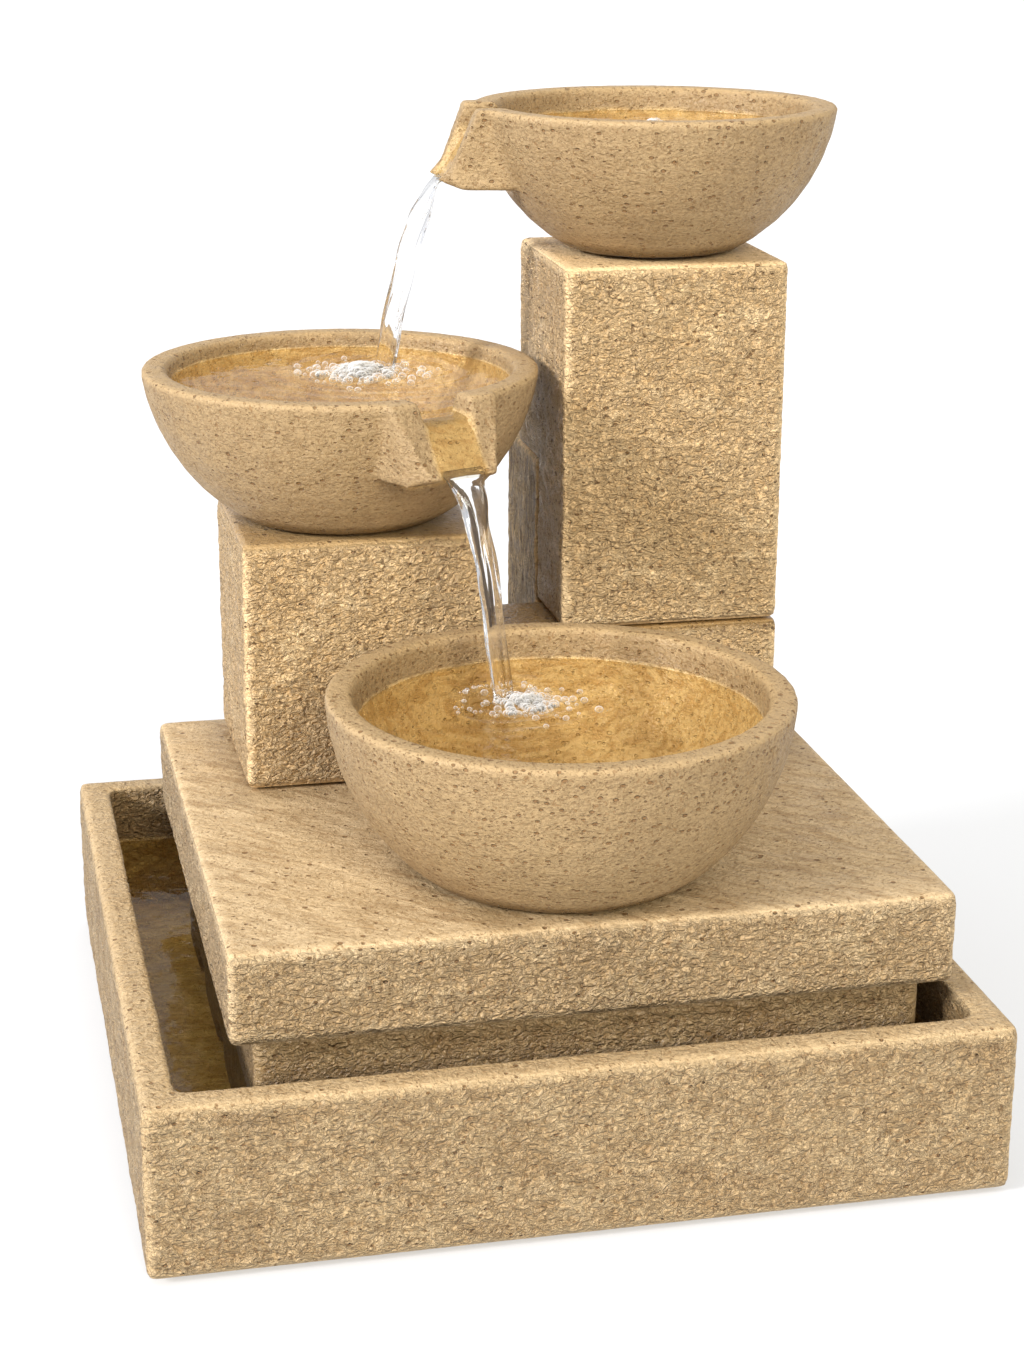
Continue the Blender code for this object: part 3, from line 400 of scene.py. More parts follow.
def stone_bowl(node, bowl, material, seed):
    mesh = remeshed(node, 0.0013, 4)
    points = carve(mesh, 0.10, seed, rim_edges(bowl))
    out = near_point(points, bowl["centre"])
    from_sphere = np.sqrt(out**2 + (points[:, 2] - bowl["sphere_z"])**2)
    inside = 1 - smoothstep(bowl["inside"] + 0.001, bowl["inside"] + 0.004, from_sphere)
    foot = 0.9 * (1 - smoothstep(0.0015, 0.0055, points[:, 2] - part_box(node)[0][2]))
    reached = inside if bowl is LOWER else np.maximum(inside, 0.45 * spout_channel(bowl, points))
    edge = bowl["water"] + 0.0002 + 0.0006 * octaves(points, 0.014, seed + 80, 3)
    height = points[:, 2] - edge
    splashed = 1 - 0.90 * smoothstep(-0.0004, 0.0012, height)
    above = inside * smoothstep(-0.0004, 0.0012, height) * (1 - 0.5 * smoothstep(0.0012, 0.0100, height))
    set_value(mesh, "wet_and_painted_light", reached * splashed)
    set_value(mesh, "damp_and_painted_shade", np.maximum(foot, 0.34 * above))
    piece = new_piece(node + "_stone", mesh, "tower", material)
    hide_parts(node)


# ---------------------------------------------------------------- material building
class Nodes:
    """Short calls for building one material's nodes."""

    def __init__(self, name):
        self.material = bpy.data.materials.new(name)
        self.material.use_nodes = True
        self.tree = self.material.node_tree
        self.shader = self.tree.nodes["Principled BSDF"]
        self.place = self.tree.nodes.new("ShaderNodeTexCoord").outputs["Object"]

    def put(self, node, socket, value):
        if isinstance(value, bpy.types.NodeSocket):
            self.tree.links.new(value, node.inputs[socket])
        else:
            node.inputs[socket].default_value = value

    def noise(self, scale, detail=3.0, roughness=0.5, at=None, distortion=0.0):
        node = self.tree.nodes.new("ShaderNodeTexNoise")
        values = {"Scale": scale, "Detail": detail, "Roughness": roughness, "Distortion": distortion}
        for socket, value in values.items():
            node.inputs[socket].default_value = value
        self.put(node, "Vector", at or self.place)
        return node.outputs["Fac"]

    def cells(self, scale, at=None):
        """A Voronoi's distance from its nearest point, and that cell's random colour."""
        node = self.tree.nodes.new("ShaderNodeTexVoronoi")
        node.inputs["Scale"].default_value = scale
        self.put(node, "Vector", at or self.place)
        return node.outputs["Distance"], node.outputs["Color"]

    def stretch(self, scale, rotation=(0, 0, 0), at=None):
        node = self.tree.nodes.new("ShaderNodeMapping")
        node.inputs["Scale"].default_value = scale
        node.inputs["Rotation"].default_value = rotation
        self.put(node, "Vector", at or self.place)
        return node.outputs["Vector"]

    def attribute(self, name):
        node = self.tree.nodes.new("ShaderNodeAttribute")
        node.attribute_name = name
        return node.outputs["Fac"]

    def ramp(self, value, low, high, out_low=0.0, out_high=1.0):
        node = self.tree.nodes.new("ShaderNodeMapRange")
        node.interpolation_type = "SMOOTHSTEP"
        self.put(node, "Value", value)
        ends = {"From Min": low, "From Max": high, "To Min": out_low, "To Max": out_high}
        for socket, number in ends.items():
            node.inputs[socket].default_value = number
        return node.outputs["Result"]

    def math(self, operation, a, b=0.0):
        node = self.tree.nodes.new("ShaderNodeMath")
        node.operation = operation
        self.put(node, 0, a)
        self.put(node, 1, b)
        return node.outputs[0]

    def mix(self, share, a, b, blend="MIX"):
        node = self.tree.nodes.new("ShaderNodeMix")
        node.data_type = "RGBA"
        node.blend_type = blend
        self.put(node, 0, share)
        self.put(node, 6, (*a, 1.0) if isinstance(a, tuple) else a)
        self.put(node, 7, (*b, 1.0) if isinstance(b, tuple) else b)
        return node.outputs[2]

    def bump(self, height, distance, strength=1.0, below=None):
        node = self.tree.nodes.new("ShaderNodeBump")
        node.inputs["Distance"].default_value = distance
        node.inputs["Strength"].default_value = strength
        self.put(node, "Height", height)
        if below is not None:
            self.put(node, "Normal", below)
        return node.outputs["Normal"]


def flecks(n, scale, share, small, large, at=None):
    """A mask of small round flecks, in a share of the cells of a random pattern."""
    distance, random = n.cells(scale, at)
    split = n.tree.nodes.new("ShaderNodeSeparateColor")
    n.put(split, "Color", random)
    chosen = n.math("LESS_THAN", split.outputs[0], share)
    reach = n.math("ADD", n.math("MULTIPLY", split.outputs[1], large - small), small)
    inside = n.ramp(n.math("SUBTRACT", distance, reach), -0.04, 0.08, 1.0, 0.0)
    return n.math("MULTIPLY", inside, chosen)


def thin_lines(n, noise):
    """Fine wandering lines along a noise's middle level."""
    return n.ramp(n.math("ABSOLUTE", n.math("SUBTRACT", noise, 0.52)), 0.004, 0.030, 1.0, 0.0)


def stone_material(name, light, mid, dark, pits, specks, streaks=0.0, fibres=0.0, edge_wear_and_highlight=0.3):
    """Sand-coloured cast stone, pitted with brown; painted shade in its hollows and low relief, painted
    highlight on its crests, raised relief and rubbed corners, gold with painted light under water, and darker
    where moist or in painted shade.
    """
    n = Nodes(name)
    rough, wet_and_painted_light, relief_shade_and_highlight = n.attribute("rough"), n.attribute("wet_and_painted_light"), n.attribute("relief_shade_and_highlight")
    damp_and_painted_shade, wear_and_edge_highlight = n.attribute("damp_and_painted_shade"), n.attribute("wear_and_edge_highlight")
    pale = tuple(min(1.0, 1.18 * c) for c in light)
    slanted = n.stretch((1.0, 1.0, 1.6), (radians(24), radians(-24), 0))
    crossed = n.stretch((1.5, 1.5, 1.0), (radians(-38), radians(52), 0))
    strokes = n.noise(290.0, 1.6, 0.5, at=slanted, distortion=1.3)
    counter_strokes = n.noise(330.0, 1.4, 0.5, at=crossed, distortion=1.0)
    # Thin crests along the strokes: raised in the bump and painted paler as a highlight. The hollows are the
    # low strokes beside them, painted darker as shade.
    crests = n.math("MAXIMUM", thin_lines(n, strokes), thin_lines(n, counter_strokes))
    hollows = n.ramp(strokes, 0.37, 0.44, 1.0, 0.0)
    dashes = n.ramp(n.noise(470.0, 1.0, 0.5, at=crossed, distortion=0.8), 0.30, 0.355, 1.0, 0.0)
    mottle = n.noise(640.0, 3.0, 0.62, at=slanted)
    colour = n.mix(n.ramp(n.noise(45.0, 4.0, 0.6), 0.30, 0.70, 0.2, 0.8), mid, light)
    colour = n.mix(n.ramp(mottle, 0.50, 0.62, 0.0, 0.40), colour, dark)
    colour = n.mix(n.ramp(mottle, 0.38, 0.48, 0.40, 0.0), colour, pale)
    patches = n.ramp(n.noise(110.0, 2.0, 0.5, at=slanted), 0.38, 0.60, 0.35, 1.0)
    hollow_shade_share = n.math("MULTIPLY", patches, n.ramp(rough, 0.0, 1.0, 0.30, 0.52))
    crest_highlight_share = n.math("MULTIPLY", patches, n.ramp(rough, 0.0, 1.0, 0.30, 0.60))
    # Painted shade in the hollows and painted highlight on the crests.
    colour = n.mix(n.math("MULTIPLY", hollows, hollow_shade_share), colour, dark)
    colour = n.mix(n.math("MULTIPLY", crests, crest_highlight_share), colour, pale)
    if streaks:
        turned = n.stretch((1.0, 1.0, 1.0), (0, 0, radians(42)))
        grain = n.noise(60.0, 6.0, 0.66, at=n.stretch((0.8, 4.0, 1.0), at=turned), distortion=0.9)
        level = n.ramp(rough, 0.2, 0.8, streaks, 0.0)
        colour = n.mix(n.math("MULTIPLY", n.ramp(grain, 0.38, 0.49, 1.0, 0.0), level), colour, dark)
        colour = n.mix(n.math("MULTIPLY", n.ramp(grain, 0.52, 0.62), level), colour, pale)
    if fibres:
        hanging = n.noise(420.0, 4.0, 0.7, at=n.stretch((1.0, 1.0, 0.16)), distortion=0.8)
        colour = n.mix(n.ramp(hanging, 0.40, 0.50, fibres, 0.0), colour, dark)
        colour = n.mix(n.ramp(hanging, 0.53, 0.62, 0.0, fibres), colour, pale)
    # Painted shade on the low points of the relief and painted highlight on its high points.
    colour = n.mix(n.ramp(relief_shade_and_highlight, 0.15, 0.46, 0.45, 0.0), colour, dark)
    colour = n.mix(n.ramp(relief_shade_and_highlight, 0.56, 0.9, 0.0, 0.45), colour, pale)
    # Paler rubbed edge lines and rim tops: a painted highlight.
    colour = n.mix(n.math("MULTIPLY", wear_and_edge_highlight, edge_wear_and_highlight), colour, pale)
    colour = n.mix(n.math("MULTIPLY", dashes, 0.75), colour, SPECK_BROWN)
    pit = flecks(n, 270.0, pits, 0.09, 0.25, slanted)
    speck = flecks(n, 640.0, specks, 0.14, 0.32, slanted)
    colour = n.mix(n.math("MULTIPLY", speck, 0.60), colour, SPECK_BROWN)
    colour = n.mix(n.math("MULTIPLY", pit, 0.85), colour, PIT_BROWN)
    # Under water: gold tones in wavy light and dark bands, brighter than soaked stone: partly the water's
    # tint, partly painted light.
    drawn = n.stretch((1.0, 2.4, 2.4), (0, 0, radians(12)))
    waves = n.ramp(n.noise(62.0, 2.0, 0.55, at=drawn, distortion=1.8), 0.38, 0.62)
    sunk_painted_light = n.mix(waves, SUNK_DARK, SUNK_LIGHT)
    colour = n.mix(wet_and_painted_light, colour, n.mix(0.70, colour, sunk_painted_light))
    # Darker where moist, and painted shade where the mask stands for shade.
    colour = n.mix(damp_and_painted_shade, colour, n.mix(1.0, colour, DAMP_AND_PAINTED_SHADE, "MULTIPLY"))
    n.put(n.shader, "Base Color", colour)
    dry = n.ramp(n.noise(120.0, 2.0), 0.3, 0.7, 0.52, 0.72)
    shine = n.ramp(n.math("MAXIMUM", wet_and_painted_light, damp_and_painted_shade), 0.0, 1.0, 1.0, 0.45)
    n.put(n.shader, "Roughness", n.math("MULTIPLY", dry, shine))
    grains = n.bump(n.noise(1100.0, 3.0, 0.65), 0.0003, 0.6)
    raised = n.math("ADD", strokes, n.math("MULTIPLY", crests, 0.12))
    raised = n.math("SUBTRACT", raised, n.math("MULTIPLY", dashes, 0.15))
    dents = n.bump(n.math("MULTIPLY", raised, n.ramp(rough, 0.0, 1.0, 0.12, 1.0)), 0.0055, 1.0, grains)
    holes = n.math("MAXIMUM", pit, n.math("MULTIPLY", speck, 0.4))
    n.put(n.shader, "Normal", n.bump(n.math("SUBTRACT", 1.0, holes), 0.0006, 1.0, dents))
    return n.material


def plain_material(name, colour, roughness, metallic=0.0, scale=300.0, coat=0.0):
    """A moulded or turned finish: a slightly uneven colour, roughness and surface."""
    n = Nodes(name)
    uneven = n.noise(scale, 3.0)
    darker = tuple(c * (1 - PLAIN_VARIATION) for c in colour)
    lighter = tuple(min(1.0, c * (1 + PLAIN_VARIATION)) for c in colour)
    n.put(n.shader, "Base Color", n.mix(n.ramp(uneven, 0.3, 0.7), darker, lighter))
    smoother, rougher = roughness * 0.85, min(1.0, roughness * 1.15)
    n.put(n.shader, "Roughness", n.ramp(n.noise(scale * 0.4, 2.0), 0.3, 0.7, smoother, rougher))
    n.shader.inputs["Metallic"].default_value = metallic
    n.shader.inputs["Coat Weight"].default_value = coat
    n.put(n.shader, "Normal", n.bump(n.noise(scale * 3, 2.0), PLAIN_DEPTH, 0.6))
    return n.material


def still_water_material(name, tint, strength, mirror):
    """A pool's surface: it mirrors by Fresnel, and tints what lies below."""
    n = Nodes(name)
    tree = n.tree
    see = tree.nodes.new("ShaderNodeBsdfTransparent")
    n.put(see, "Color", n.mix(n.noise(40.0, 3.0), tint, tuple(c * 0.86 for c in tint)))
    gloss = tree.nodes.new("ShaderNodeBsdfGlossy")
    gloss.inputs["Roughness"].default_value = 0.02
    gloss.inputs["Color"].default_value = (1, 1, 1, 1)
    bump = n.bump(n.noise(110.0, 3.0, 0.5, distortion=1.0), 0.0005, 0.35 * strength)
    n.put(gloss, "Normal", bump)
    fresnel = tree.nodes.new("ShaderNodeFresnel")
    fresnel.inputs["IOR"].default_value = WATER_IOR
    n.put(fresnel, "Normal", bump)
    join = tree.nodes.new("ShaderNodeMixShader")
    n.put(join, 0, n.math("MULTIPLY", fresnel.outputs[0], mirror))
    n.put(join, 1, see.outputs[0])
    n.put(join, 2, gloss.outputs[0])
    tree.nodes.remove(n.shader)
    tree.links.new(join.outputs[0], tree.nodes["Material Output"].inputs["Surface"])
    return n.material


def clear_water_material(name):
    """Falling water: real refraction, greyer where it's seen edge on."""
    n = Nodes(name)
    edge = n.tree.nodes.new("ShaderNodeLayerWeight")
    edge.inputs["Blend"].default_value = 0.5
    clear = n.mix(n.noise(60.0, 2.0), (0.97, 0.98, 0.98), (1.0, 1.0, 1.0))
    grey = n.ramp(edge.outputs["Facing"], 0.40, 0.90)
    n.put(n.shader, "Base Color", n.mix(grey, clear, (0.22, 0.22, 0.23)))
    n.shader.inputs["Transmission Weight"].default_value = 1.0
    n.shader.inputs["IOR"].default_value = WATER_IOR
    n.shader.inputs["Roughness"].default_value = 0.02
    n.put(n.shader, "Normal", n.bump(n.noise(260.0, 2.0), 0.0003, 0.25))
    return n.material


def froth_material(name):
    """Thin bubbles: mostly see-through, white and shining where they're seen edge on."""
    n = Nodes(name)
    tree = n.tree
    see = tree.nodes.new("ShaderNodeBsdfTransparent")
    see.inputs["Color"].default_value = (0.98, 0.97, 0.95, 1)
    n.put(n.shader, "Base Color", n.mix(n.noise(500.0, 2.0), (0.90, 0.89, 0.87), (0.98, 0.98, 0.98)))
    n.shader.inputs["Roughness"].default_value = 0.08
    n.shader.inputs["Specular IOR Level"].default_value = 0.9
    edge = tree.nodes.new("ShaderNodeLayerWeight")
    edge.inputs["Blend"].default_value = 0.45
    join = tree.nodes.new("ShaderNodeMixShader")
    n.put(join, 0, n.ramp(edge.outputs["Facing"], 0.15, 0.95, 0.06, 0.75))
    n.put(join, 1, see.outputs[0])
    n.put(join, 2, n.shader.outputs[0])
    tree.links.new(join.outputs[0], tree.nodes["Material Output"].inputs["Surface"])
    return n.material


# ---------------------------------------------------------------- water
def ripple_height(points, landing, seed, rings=0.00075, wavelength=0.0095):
    """Rings running out from where a stream lands, over a little chop."""
    reach = np.hypot(points[:, 0] - landing[0], points[:, 1] - landing[1])
    flat = np.column_stack([points[:, 0], points[:, 1], np.zeros(len(points))])
    bent = reach + 0.0020 * gradient_noise(flat / 0.02, seed)
    waves = np.cos(bent * 2 * pi / wavelength) * np.exp(-reach / 0.030) * rings
    return waves + 0.00026 * octaves(flat, 0.016, seed + 4, 3)


def pool_disc(name, bowl, landing, material, seed):
    """A round water surface that meets the bowl's wall all round."""
    radius = sqrt(bowl["inside"]**2 - (bowl["sphere_z"] - bowl["water"])**2) + 0.0004
    bm = bmesh.new()
    steps, rings = 144, 60
    middle = bm.verts.new((*bowl["centre"], bowl["water"]))
    previous = None
    for r in range(1, rings + 1):
        out = radius * r / rings
        turns = [2 * pi * k / steps for k in range(steps)]
        circle = [
            bm.verts.new((
                bowl["centre"][0] + out * cos(turn), bowl["centre"][1] + out * sin(turn), bowl["water"],
            ))
            for turn in turns
        ]
        for k in range(steps):
            n = (k + 1) % steps
            if previous is None:
                bm.faces.new((middle, circle[k], circle[n]))
            else:
                bm.faces.new((previous[k], circle[k], circle[n], previous[n]))
        previous = circle

    def rise(points):
        out = near_point(points, bowl["centre"])
        calm = 1 - smoothstep(radius - 0.004, radius, out) * 0.7
        climb = 0.0006 * smoothstep(radius - 0.0022, radius, out)
        return ripple_height(points, landing, seed) * calm + climb

    new_piece(name, finished_mesh(name, bm, rise), "tower", material)


def basin_pool(material):
    """The basin's water, a full sheet so that it stays whole when the tower is lifted out."""
    half_x, half_y = BASIN_INSIDE[0] + 0.0005, BASIN_INSIDE[1] + 0.0005
    bm = bmesh.new()
    nx, ny = 150, 154
    grid = []
    for i in range(nx + 1):
        x = -half_x + 2 * half_x * i / nx
        ys = [-half_y + 2 * half_y * j / ny for j in range(ny + 1)]
        grid.append([bm.verts.new((x, y, BASIN_WATER)) for y in ys])
    for i in range(nx):
        for j in range(ny):
            bm.faces.new((grid[i][j], grid[i + 1][j], grid[i + 1][j + 1], grid[i][j + 1]))
    mesh = finished_mesh("basin_water", bm, lambda points: 0.0004 * octaves(points, 0.022, 500, 3))
    new_piece("basin_water", mesh, "basin", material)


def falling_route(centre, angle, sections, landing, water_z):
    """Points down a spout's channel, then through the air to the landing, ever steeper on the way."""
    ahead = Vector((cos(angle), sin(angle), 0))
    start = Vector((*centre, 0))
    route = [start + ahead * out + Vector((0, 0, z)) for out, z in sections]
    lip, end = route[-1], Vector((*landing, water_z - 0.001))
    drop = lip.z - end.z
    steps = 44
    flight = []
    for i in range(1, steps + 1):
        t = i / steps
        fall = 0.42 * t + 0.58 * t * t
        point = lip + (end - lip) * t
        point.z = lip.z - drop * fall
        flight.append(point)
    return route, flight


def loft(name, spine, widths, depths, sideways, material, turns=0.35, ridges=0.15):
    """A closed stream along a spine: its section is an oval with ridges that wind down it."""
    bm = bmesh.new()
    sides = 40
    rings = []
    for i, point in enumerate(spine):
        along = (spine[min(i + 1, len(spine) - 1)] - spine[max(i - 1, 0)]).normalized()
        across = (sideways - along * sideways.dot(along)).normalized()
        outward = across.cross(along)
        share = i / (len(spine) - 1)
        ring = []
        for k in range(sides):
            a = 2 * pi * k / sides
            wound = a + 2 * pi * turns * share
            bulge = 1 + ridges * min(1.0, share * 3) * (
                0.5 * cos(5 * wound + 1.3)
                + 0.35 * cos(8 * wound - 7 * share)
                + 0.3 * sin(3 * wound + 9 * share)
            )
            bulge *= 1 + 0.05 * sin(23 * share + 1.7 * sin(a + 5 * share))
            aside = across * (widths[i] / 2 * bulge * cos(a))
            ring.append(bm.verts.new(point + aside + outward * (depths[i] / 2 * bulge * sin(a))))
        rings.append(ring)
    for first, second in zip(rings, rings[1:]):
        for k in range(sides):
            n = (k + 1) % sides
            bm.faces.new((first[k], first[n], second[n], second[k]))
    bm.faces.new(rings[0][::-1])
    bm.faces.new(rings[-1])
    bmesh.ops.recalc_face_normals(bm, faces=bm.faces)
    new_piece(name, finished_mesh(name, bm), "tower", material)


def channel_path(bowl, weir):
    """(out, height) points of the water's surface from the pool's edge over the weir to the lip."""
    r, rim, level = bowl["rim_radius"], bowl["rim"], bowl["water"]
    return [
        (r - 0.0130, level - 0.0002), (r - 0.0070, level - 0.0003),
        (r - 0.0030, level - 0.0006), (r + 0.0005, rim - weir + 0.0008),
        (r + 0.0030, rim - weir - 0.0014), (r + 0.0060, rim - weir - 0.0058),
        (r + 0.0110, rim - weir - 0.0132), (r + 0.0140, rim - 0.0222 - 0.47 * weir),
    ]


def channel_sheet(name, bowl, angle, weir, material, seed):
    """The thin sheet of water that runs through a spout's channel."""
    ahead, aside = Vector((cos(angle), sin(angle), 0)), Vector((-sin(angle), cos(angle), 0))
    path = channel_path(bowl, weir)
    rows = [Vector(a).lerp(Vector(b), k / 6) for a, b in zip(path, path[1:]) for k in range(6)]
    rows.append(Vector(path[-1]))
    columns = 18
    bm = bmesh.new()
    grid = []
    for out, z in rows:
        start = Vector((*bowl["centre"], z)) + ahead * out
        steps = [2 * k / columns - 1 for k in range(columns + 1)]
        grid.append([bm.verts.new(start + aside * (CHANNEL_WATER_WIDTH / 2) * step) for step in steps])
    for first, second in zip(grid, grid[1:]):
        for k in range(columns):
            bm.faces.new((first[k], second[k], second[k + 1], first[k + 1]))

    def rise(points):
        return 0.00022 * octaves(points * (1.0, 1.0, 0.4), 0.0055, seed, 2)

    new_piece(name, finished_mesh(name, bm, rise), "tower", material)


def stream(name, bowl, angle, weir, landing, pool, material, lip_width, fall_width, fall_depth=0.0064):
    """The water of one spout from its lip on: a thin sheet that gathers into a falling stream."""
    lip = channel_path(bowl, weir)[-2:]
    route, flight = falling_route(bowl["centre"], angle, lip, landing, pool["water"])
    spine = [a.lerp(b, k / 4) for a, b in zip(route, route[1:]) for k in range(4)]
    for k, point in enumerate(spine):
        point.z -= STREAM_SUNK * (1 - k / len(spine))
    channel = len(spine)
    spine += [route[-1], *flight]
    widths, depths = [], []
    for i in range(len(spine)):
        if i < channel:
            share = i / channel
            widths.append(CHANNEL_WATER_WIDTH + (lip_width - CHANNEL_WATER_WIDTH) * share)
            depths.append(0.0004 + 0.0016 * share**2)
        else:
            share = (i - channel) / (len(spine) - 1 - channel)
            gather = min(1.0, share / 0.35)
            widths.append(lip_width + (fall_width - lip_width) * gather - 0.0012 * share)
            depths.append(STREAM_LIP_DEPTH + (fall_depth - STREAM_LIP_DEPTH) * gather - 0.0010 * share)
    sideways = Vector((-sin(angle), cos(angle), 0))
    loft(name, spine, widths, depths, sideways, material)


def bubble_mesh(bm, centre, radius):
    made = bmesh.ops.create_icosphere(bm, subdivisions=2, radius=radius, matrix=Matrix.Translation(centre))
    for vertex in made["verts"]:
        vertex.co.z = centre[2] + (vertex.co.z - centre[2]) * BUBBLE_SQUASH


def froth(name, centre, water_z, material, seed, spread, count, largest):
    """Bubbles crowded round a landing point, in one piece, with a few thrown further out."""
    rng = np.random.default_rng(seed)
    bm = bmesh.new()
    for _ in range(count):
        away = abs(rng.normal()) * spread[0]
        angle = rng.uniform(0, 2 * pi)
        size = largest * rng.uniform(0.22, 1.0)**1.6 * (1 - 0.35 * min(1.0, away / (2 * spread[0])))
        x = centre[0] + away * cos(angle)
        y = centre[1] + away * sin(angle) * spread[1]
        pile = BUBBLE_PILE * max(0.0, 1 - away / spread[0]) * rng.uniform(0, 1)
        bubble_mesh(bm, (x, y, water_z + pile + size * 0.15), size)
    new_piece(name, finished_mesh(name, bm), "tower", material)


def bubble_arc(name, centre, radius, angles, water_z, material, seed, count):
    """A string of small bubbles that drifts round with a ripple."""
    rng = np.random.default_rng(seed)
    bm = bmesh.new()
    for _ in range(count):
        angle = radians(rng.uniform(*angles))
        out = radius + rng.normal() * 0.0010
        size = 0.0004 + 0.0009 * rng.uniform(0, 1)**2
        place = (centre[0] + out * cos(angle), centre[1] + out * sin(angle), water_z + size * 0.2)
        bubble_mesh(bm, place, size)
    new_piece(name, finished_mesh(name, bm), "tower", material)


# ---------------------------------------------------------------- studio
def make_sky():
    """A pale surround, brighter towards -X, the left of the photo."""
    world = bpy.data.worlds.new("studio")
    bpy.context.scene.world = world
    world.use_nodes = True
    tree = world.node_tree
    background = tree.nodes["Background"]
    direction = tree.nodes.new("ShaderNodeTexCoord").outputs["Generated"]
    parts = tree.nodes.new("ShaderNodeSeparateXYZ")
    tree.links.new(direction, parts.inputs[0])
    side = tree.nodes.new("ShaderNodeMapRange")
    tree.links.new(parts.outputs["X"], side.inputs["Value"])
    for socket, number in {"From Min": -1.0, "From Max": 1.0, "To Min": 1.15, "To Max": 0.60}.items():
        side.inputs[socket].default_value = number
    tree.links.new(side.outputs["Result"], background.inputs["Strength"])
    background.inputs["Color"].default_value = SKY_COLOUR


def make_floor():
    bm = bmesh.new()
    bmesh.ops.create_grid(bm, x_segments=1, y_segments=1, size=FLOOR_SIZE)
    mesh = bpy.data.meshes.new("floor")
    bm.to_mesh(mesh)
    bm.free()
    floor = bpy.data.objects.new("floor", mesh)
    bpy.context.scene.collection.objects.link(floor)
    paint = Nodes("floor_paint")
    greys = paint.mix(paint.noise(3.0), (0.42, 0.425, 0.43), (0.43, 0.435, 0.44))
    paint.put(paint.shader, "Base Color", greys)
    paint.shader.inputs["Emission Color"].default_value = (1.0, 1.0, 1.0, 1.0)
    paint.shader.inputs["Emission Strength"].default_value = 0.40
    paint.shader.inputs["Roughness"].default_value = 0.9
    paint.shader.inputs["Specular IOR Level"].default_value = 0.1
    mesh.materials.append(paint.material)
    floor.location.z = -FLOOR_DROP


def make_studio():
    bpy.context.scene.view_settings.view_transform = "Standard"
    make_sky()
    make_floor()
    for sun in SUNS:
        add_sun(*sun)


def add_sun(name, towards, strength, spread, colour):
    """A very broad, soft lamp that shines evenly over the whole set."""
    data = bpy.data.lights.new(name, "SUN")
    data.energy = strength
    data.angle = radians(spread)
    data.color = colour
    light = bpy.data.objects.new(name, data)
    bpy.context.scene.collection.objects.link(light)
    light.rotation_euler = Vector(towards).to_track_quat("Z", "Y").to_euler()


# ---------------------------------------------------------------- the fountain
def repaint_small_nodes():
    """Procedural finishes for the CAD nodes that stay as they are."""
    finishes = {
        "black_rubber": plain_material("rubber_finish", (0.022, 0.022, 0.024), 0.75, scale=500.0),
        "silicone": plain_material("silicone_finish", (0.10, 0.075, 0.05), 0.45),
        "pump_plastic": plain_material("pump_plastic_finish", (0.030, 0.031, 0.034), 0.42, scale=700.0),
        "grey_plastic": plain_material("grey_plastic_finish", (0.23, 0.24, 0.25), 0.45, scale=700.0),
        "clear_vinyl": plain_material("vinyl_finish", (0.70, 0.74, 0.74), 0.22, scale=90.0, coat=0.5),
        "stainless_steel": plain_material("steel_finish", (0.62, 0.61, 0.59), 0.3, metallic=1.0, scale=900.0),
        "white_ceramic": plain_material("ceramic_finish", (0.82, 0.81, 0.77), 0.2),
        "magnet": plain_material("ferrite_finish", (0.055, 0.05, 0.047), 0.55, scale=900.0),
    }
    for entry in frame["record"]["subparts"]:
        if entry["material_slot"] in finishes:
            node = frame["nodes"][entry["node"]]
            for holder in node.material_slots:
                holder.material = finishes[entry["material_slot"]]


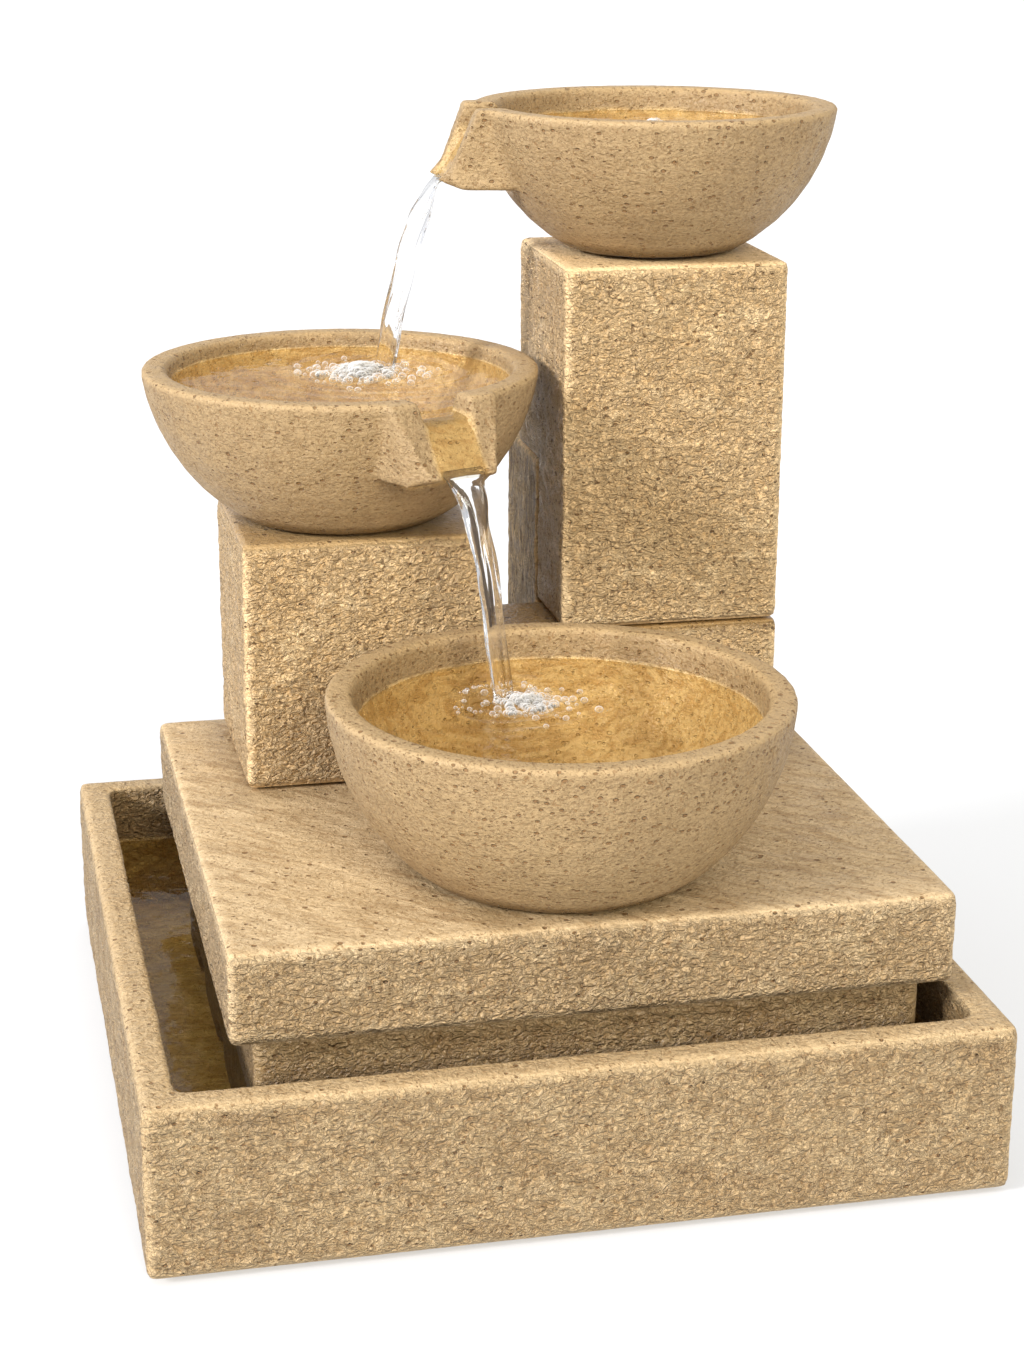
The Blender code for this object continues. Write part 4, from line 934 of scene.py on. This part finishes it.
def main():
    set_camera()
    basin_stone = stone_material("basin_stone", *BASIN_STONE)
    block_stone = stone_material("block_stone", *BLOCK_STONE)
    slab_stone = stone_material("slab_stone", *SLAB_STONE, streaks=0.50)
    bowl_stone = stone_material("bowl_stone", *BOWL_STONE, edge_wear_and_highlight=0.8)
    lower_stone = stone_material("lower_bowl_stone", *LOWER_BOWL_STONE, edge_wear_and_highlight=1.0)
    cover_stone = stone_material("cover_stone_finish", *COVER_STONE, fibres=0.85)

    stone_block("basin", basin_stone, 0.0014, 0.85, 11, body="basin", top=0.25)
    stone_block("platform_slab", slab_stone, 0.0012, 1.0, 22, streaks=True)
    stone_block("plinth_frame", basin_stone, 0.0016, 0.6, 33)
    stone_block("short_pillar", block_stone, 0.0010, 1.0, 44)
    stone_block("link_block", block_stone, 0.0013, 1.0, 55)
    stone_block("tall_pillar", block_stone, 0.0010, 1.0, 66)
    stone_block("rear_cover", cover_stone, 0.0012, 0.9, 77)
    stone_bowl("top_bowl", TOP, bowl_stone, 101)
    stone_bowl("middle_bowl", MIDDLE, bowl_stone, 202)
    stone_bowl("lower_bowl", LOWER, lower_stone, 303)
    repaint_small_nodes()

    bowl_water = still_water_material("bowl_water_surface", BOWL_WATER_TINT, 1.0, 0.5)
    trough_water = still_water_material("trough_water_surface", BASIN_WATER_TINT, 1.4, 0.6)
    foam = froth_material("bubbles")
    clear = clear_water_material("falling_water")
    pool_disc("top_bowl_water", TOP, TOP_CENTRE, bowl_water, 601)
    pool_disc("middle_bowl_water", MIDDLE, UPPER_LANDING, bowl_water, 602)
    pool_disc("lower_bowl_water", LOWER, LOWER_LANDING, bowl_water, 603)
    basin_pool(trough_water)
    channel_sheet("top_spout_water", TOP, TOP_SPOUT, TOP_WEIR, bowl_water, 611)
    channel_sheet("middle_spout_water", MIDDLE, MIDDLE_SPOUT, MIDDLE_WEIR, bowl_water, 612)
    stream("upper_stream", TOP, TOP_SPOUT, TOP_WEIR, UPPER_LANDING, MIDDLE, clear, 0.0120, 0.0092, 0.0086)
    stream("lower_stream", MIDDLE, MIDDLE_SPOUT, MIDDLE_WEIR, LOWER_LANDING, LOWER, clear, 0.0150, 0.0088)
    froth("upper_froth", UPPER_FROTH_CENTRE, MIDDLE["water"], foam, 801, (0.0125, 0.9), 380, largest=0.0029)
    froth("lower_froth", LOWER_FROTH_CENTRE, LOWER["water"], foam, 802, (0.0105, 0.9), 300, largest=0.0025)
    froth("top_froth", TOP_CENTRE, TOP["water"], foam, 803, (0.0080, 1.0), 70, largest=0.0022)
    bubble_arc("lower_bubbles_near", LOWER_LANDING, 0.019, (-160, -30), LOWER["water"], foam, 901, 26)
    bubble_arc("lower_bubbles_far", LOWER_LANDING, 0.015, (10, 150), LOWER["water"], foam, 902, 30)
    make_studio()


main()
